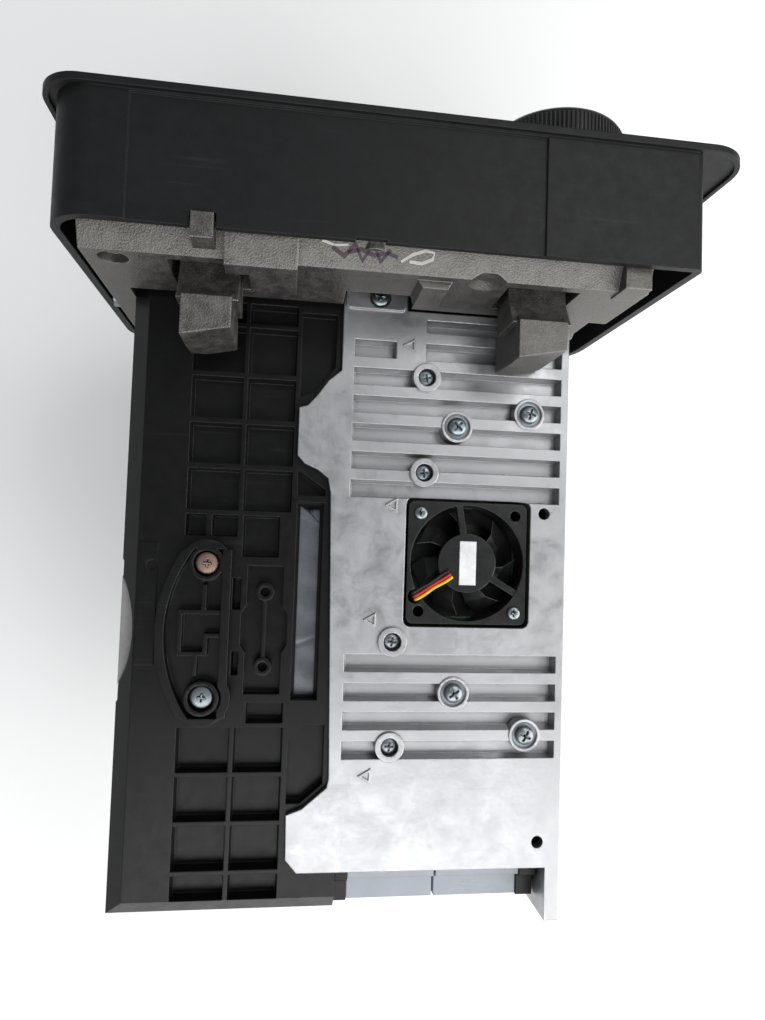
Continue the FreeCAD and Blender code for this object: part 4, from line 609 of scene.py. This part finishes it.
def seats_of(node):
    """The middle of each separate solid of a node, on the height of its top."""
    shell = bmesh.new()
    shell.from_mesh(frame["nodes"][node].data)
    bmesh.ops.remove_doubles(shell, verts=shell.verts, dist=0.002 * MM)
    left = set(shell.verts)
    found = []
    while left:
        start = left.pop()
        island, queue = [start], [start]
        while queue:
            for edge in queue.pop().link_edges:
                for vert in edge.verts:
                    if vert in left:
                        left.remove(vert)
                        island.append(vert)
                        queue.append(vert)
        low = Vector([min(v.co[i] for v in island) for i in range(3)])
        high = Vector([max(v.co[i] for v in island) for i in range(3)])
        found.append(Vector(((low.x + high.x) / 2, (low.y + high.y) / 2, high.z)))
    shell.free()
    return sorted(found, key=lambda seat: (round(seat.y, 4), round(seat.x, 4)))


SCREW_SETS = [
    # node, piece, head radius, head height, washer radius, washer height, recess reach, shank length, seed
    ("pan_screws", "washer_screws", 3.0, 2.3, 4.0, 0.7, 1.9, 8.0, 4),
    ("deep_screws", "sunk_screws", 2.6, 1.5, 2.55, 0.2, 1.5, 7.0, 9),
    ("tab_screw", "tab_screw_head", 2.9, 1.7, 2.8, 0.2, 1.6, 7.0, 2),
    ("fan_screws", "fan_screw_heads", 2.1, 1.2, 2.05, 0.12, 1.15, 11.0, 5),
    ("foot_screw_copper", "copper_foot_screw", 3.6, 1.1, 3.65, 0.9, 1.3, 7.0, 7),
    ("foot_screw_steel", "steel_foot_screw", 3.6, 1.1, 3.65, 0.9, 1.3, 7.0, 8),
]


def fit_screws(node, name, head_r, head_h, washer_r, washer_h, reach, shank, seed):
    drop = Vector((0.0, 0.0, (head_h + washer_h) * MM))
    points = [seat - drop for seat in seats_of(node)]
    mesh = grow(name, SCREW_TREE, points, {
        "Head Radius": head_r * MM, "Head Height": head_h * MM, "Washer Radius": washer_r * MM,
        "Washer Height": washer_h * MM, "Recess Reach": reach * MM, "Recess Width": reach * 0.42 * MM,
        "Shank Radius": 1.2 * MM, "Shank Length": shank * MM, "Turn Seed": seed, "Material": FINISH[SLOT_OF[node]]})
    return keep(name, mesh, node)


# ---- knurled knob ----
KNOB_SIDES = 120


def turned_ring(shell, profile, centre_x, centre_z, sides):
    """A closed lathe body about an axis along Y; the profile runs as (y, radius) in millimetres, axis to axis."""
    rings = []
    for y, radius in profile:
        if radius < 1e-6:
            rings.append([shell.verts.new((centre_x, y * MM, centre_z))])
            continue
        ring = []
        for side in range(sides):
            angle = math.tau * side / sides
            ring.append(shell.verts.new((centre_x + radius * MM * math.cos(angle), y * MM, centre_z + radius * MM * math.sin(angle))))
        rings.append(ring)
    for near, far in zip(rings, rings[1:]):
        for side in range(sides):
            after = (side + 1) % sides
            if len(near) == 1:
                shell.faces.new((near[0], far[side], far[after]))
            elif len(far) == 1:
                shell.faces.new((near[after], near[side], far[0]))
            else:
                shell.faces.new((near[side], far[side], far[after], near[after]))
    bmesh.ops.recalc_face_normals(shell, faces=shell.faces)


def knob_body():
    low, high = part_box("knurled_knob")
    centre_x, centre_z = (low.x + high.x) / 2, (low.z + high.z) / 2
    shell = bmesh.new()
    turned_ring(shell, [(-13.4, 0.0), (-13.4, 15.6), (-13.8, 16.3), (-15.2, 17.4), (-15.9, 18.0), (-16.0, 18.6), (-16.0, 19.6),
                        (-15.7, 20.3), (-15.1, 20.9), (-14.4, 21.3), (-13.9, 21.35), (-5.6, 21.35), (-5.0, 21.3), (-4.6, 20.9),
                        (-4.5, 20.4), (-4.5, 0.0)], centre_x, centre_z, KNOB_SIDES)
    grip = bmesh.ops.create_cube(shell, size=1.0)["verts"]
    for vert in grip:
        vert.co = Vector((centre_x + vert.co.x * 6.4 * MM, (-15.4 + vert.co.y * 6.0) * MM, centre_z + vert.co.z * 30.0 * MM))
    grip_edges = list({edge for vert in grip for edge in vert.link_edges})
    bmesh.ops.bevel(shell, geom=grip_edges, offset=1.9 * MM, segments=4, profile=0.6, affect="EDGES")
    mesh = bpy.data.meshes.new("knob_body")
    shell.to_mesh(mesh)
    shell.free()
    mesh.shade_smooth()
    mesh.set_sharp_from_angle(angle=math.radians(45.0))
    body = keep("knob_body", mesh, "knurled_knob")
    middle = (centre_x, -9.6 * MM, centre_z)
    ribs = grow("knob_ribs", KNURL_TREE, [middle], {"Rim Radius": 21.35 * MM, "Rib Count": 104, "Rib Radius": 0.42 * MM,
                                                    "Rib Length": 8.6 * MM, "Material": FINISH["knob_black"]})
    keep("knob_ribs", ribs, "knurled_knob", stands_for=False)
    return body


# ---- marker strokes on the bracket ----
MARK_TOP = 53.0
MARK_EDGE_Y = 31.5
MARK_FALL = 4.0 / 9.0


def marker_stroke(name, points, width, material):
    """A flat ribbon of ink on the bracket's sloping top; the points are x and y in millimetres."""
    shell = bmesh.new()
    rows = []
    for index, (x, y) in enumerate(points):
        before = points[max(index - 1, 0)]
        after = points[min(index + 1, len(points) - 1)]
        run = Vector((after[0] - before[0], after[1] - before[1])).normalized()
        half = 0.5 * width * random.uniform(0.75, 1.15)
        row = []
        for side in (-1.0, 1.0):
            px, py = x - run.y * half * side, y + run.x * half * side
            row.append(shell.verts.new((px * MM, py * MM, (MARK_TOP - MARK_FALL * (py - MARK_EDGE_Y) + 0.12) * MM)))
        rows.append(row)
    for near, far in zip(rows, rows[1:]):
        shell.faces.new((near[0], near[1], far[1], far[0]))
    bmesh.ops.recalc_face_normals(shell, faces=shell.faces)
    mesh = bpy.data.meshes.new(name)
    shell.to_mesh(mesh)
    shell.free()
    return keep(name, mesh, "mounting_bracket", material, stands_for=False)


def marker_strokes():
    violet = plastic("marker_violet", (0.035, 0.018, 0.032), 0.42, 0.4, 0.5, 0.2, (0.12, 0.10, 0.11))
    white = plastic("marker_white", (0.40, 0.40, 0.37), 0.5, 0.4, 0.5, 0.2, (0.3, 0.3, 0.28))
    zigzag = [(16.0, 35.4), (12.5, 37.4), (9.6, 34.2), (7.4, 38.2), (4.6, 34.0), (2.2, 38.0), (-0.4, 35.0)]
    cross = [(11.6, 36.4), (8.0, 35.4), (4.0, 36.6), (0.4, 35.8), (-2.6, 36.6)]
    loop = [(-3.6, 37.6), (-6.8, 35.6), (-10.4, 34.4), (-13.0, 34.8), (-12.6, 36.4), (-9.6, 37.6), (-6.0, 37.4)]
    swash = [(19.0, 34.0), (15.4, 34.9), (11.6, 34.6)]
    marker_stroke("violet_zigzag", zigzag, 1.3, violet)
    marker_stroke("violet_cross_line", cross, 1.1, violet)
    marker_stroke("white_loop", loop, 0.8, white)
    marker_stroke("white_swash", swash, 0.7, white)


# ---- flexible circuit strip, slightly buckled ----
def crease(y, middle, width, height):
    return height * math.exp(-((y - middle) / width) ** 2)


def flex_sheet():
    low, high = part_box("flex_strip")
    columns, rows = 6, 90
    shell = bmesh.new()
    grid = []
    for row in range(rows + 1):
        share = row / rows
        line = []
        for column in range(columns + 1):
            across = column / columns
            slant = 5.5 * MM * (1.0 - across) if row == 0 else 0.0
            x = low.x + (high.x - low.x) * across
            y = low.y + (high.y - low.y) * share + slant
            y_mm = y / MM
            wave = 0.12 * math.sin(y_mm * 0.55 + 1.4 * across) + 0.08 * math.sin(y_mm * 0.21 + 0.5)
            folds = crease(y_mm, 111.5 - 3.0 * across, 0.7, 0.35) - crease(y_mm, 149.0 + 2.5 * across, 0.5, 0.3)
            line.append(shell.verts.new((x, max(y, low.y), high.z + (wave + folds - 0.45) * MM)))
        grid.append(line)
    for near, far in zip(grid, grid[1:]):
        for left in range(columns):
            shell.faces.new((near[left], near[left + 1], far[left + 1], far[left]))
    rim = [edge for edge in shell.edges if edge.is_boundary]
    skirt = bmesh.ops.extrude_edge_only(shell, edges=rim)["geom"]
    for vert in (item for item in skirt if isinstance(item, bmesh.types.BMVert)):
        vert.co.z = low.z
    bmesh.ops.contextual_create(shell, geom=[edge for edge in shell.edges if edge.is_boundary])
    bmesh.ops.recalc_face_normals(shell, faces=shell.faces)
    mesh = bpy.data.meshes.new("flex_sheet")
    shell.to_mesh(mesh)
    shell.free()
    mesh.shade_smooth()
    mesh.set_sharp_from_angle(angle=math.radians(45.0))
    return keep("flex_sheet", mesh, "flex_strip")


# ---- the fan's three leads, out of the hub and down through the corner of its frame ----
FAN_CENTRE = Vector((-33.5, 123.2, 0.0)) * MM
LEAD_TURN = math.radians(33.0)
LEAD_PITCH = 1.12
LEAD_SPREAD = [(-0.25, 0.9), (0.1, 0.0), (0.3, -0.9)]


def fan_lead(index, name):
    along = Vector((math.cos(LEAD_TURN), math.sin(LEAD_TURN), 0.0))
    across = Vector((-math.sin(LEAD_TURN), math.cos(LEAD_TURN), 0.0))
    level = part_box("fan_leads")[1].z - 0.55 * MM
    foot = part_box("fan_leads")[0].z
    shift = (index - 1) * LEAD_PITCH
    sway = LEAD_SPREAD[index][0]
    route = [(6.6, shift, level), (9.0, shift + sway, level), (13.5, shift * 1.05 - sway, level),
             (17.5, shift + 0.5 * sway, level), (20.9, shift, level), (20.7, shift, level - 2.4 * MM), (20.6, shift, foot + 0.1 * MM)]
    curve = bpy.data.curves.new(name, "CURVE")
    curve.dimensions = "3D"
    line = curve.splines.new("NURBS")
    line.points.add(len(route) - 1)
    for point, (reach, side, height) in zip(line.points, route):
        place = FAN_CENTRE + along * (reach * MM) + across * (side * MM)
        point.co = (place.x, place.y, height, 1.0)
    line.order_u = 3
    line.use_endpoint_u = True
    curve.resolution_u = 10
    curve.bevel_depth = 0.52 * MM
    curve.bevel_resolution = 4
    curve.use_fill_caps = True
    work = bpy.data.objects.new(name, curve)
    scene.collection.objects.link(work)
    mesh = settle(work, name)
    mesh.shade_smooth()
    return keep(name, mesh, "fan_leads", LEAD_FINISH[index])


place_camera()
light_room()
lay_floor(bench_finish())
finish_cad_nodes()
for node_name, piece_name, edge_width in SOFTENED:
    soften(node_name, piece_name, edge_width)
for screw_set in SCREW_SETS:
    fit_screws(*screw_set)
knob_body()
marker_strokes()
flex_sheet()
for order, lead_name in enumerate(("lead_first", "lead_middle", "lead_last")):
    fan_lead(order, lead_name)
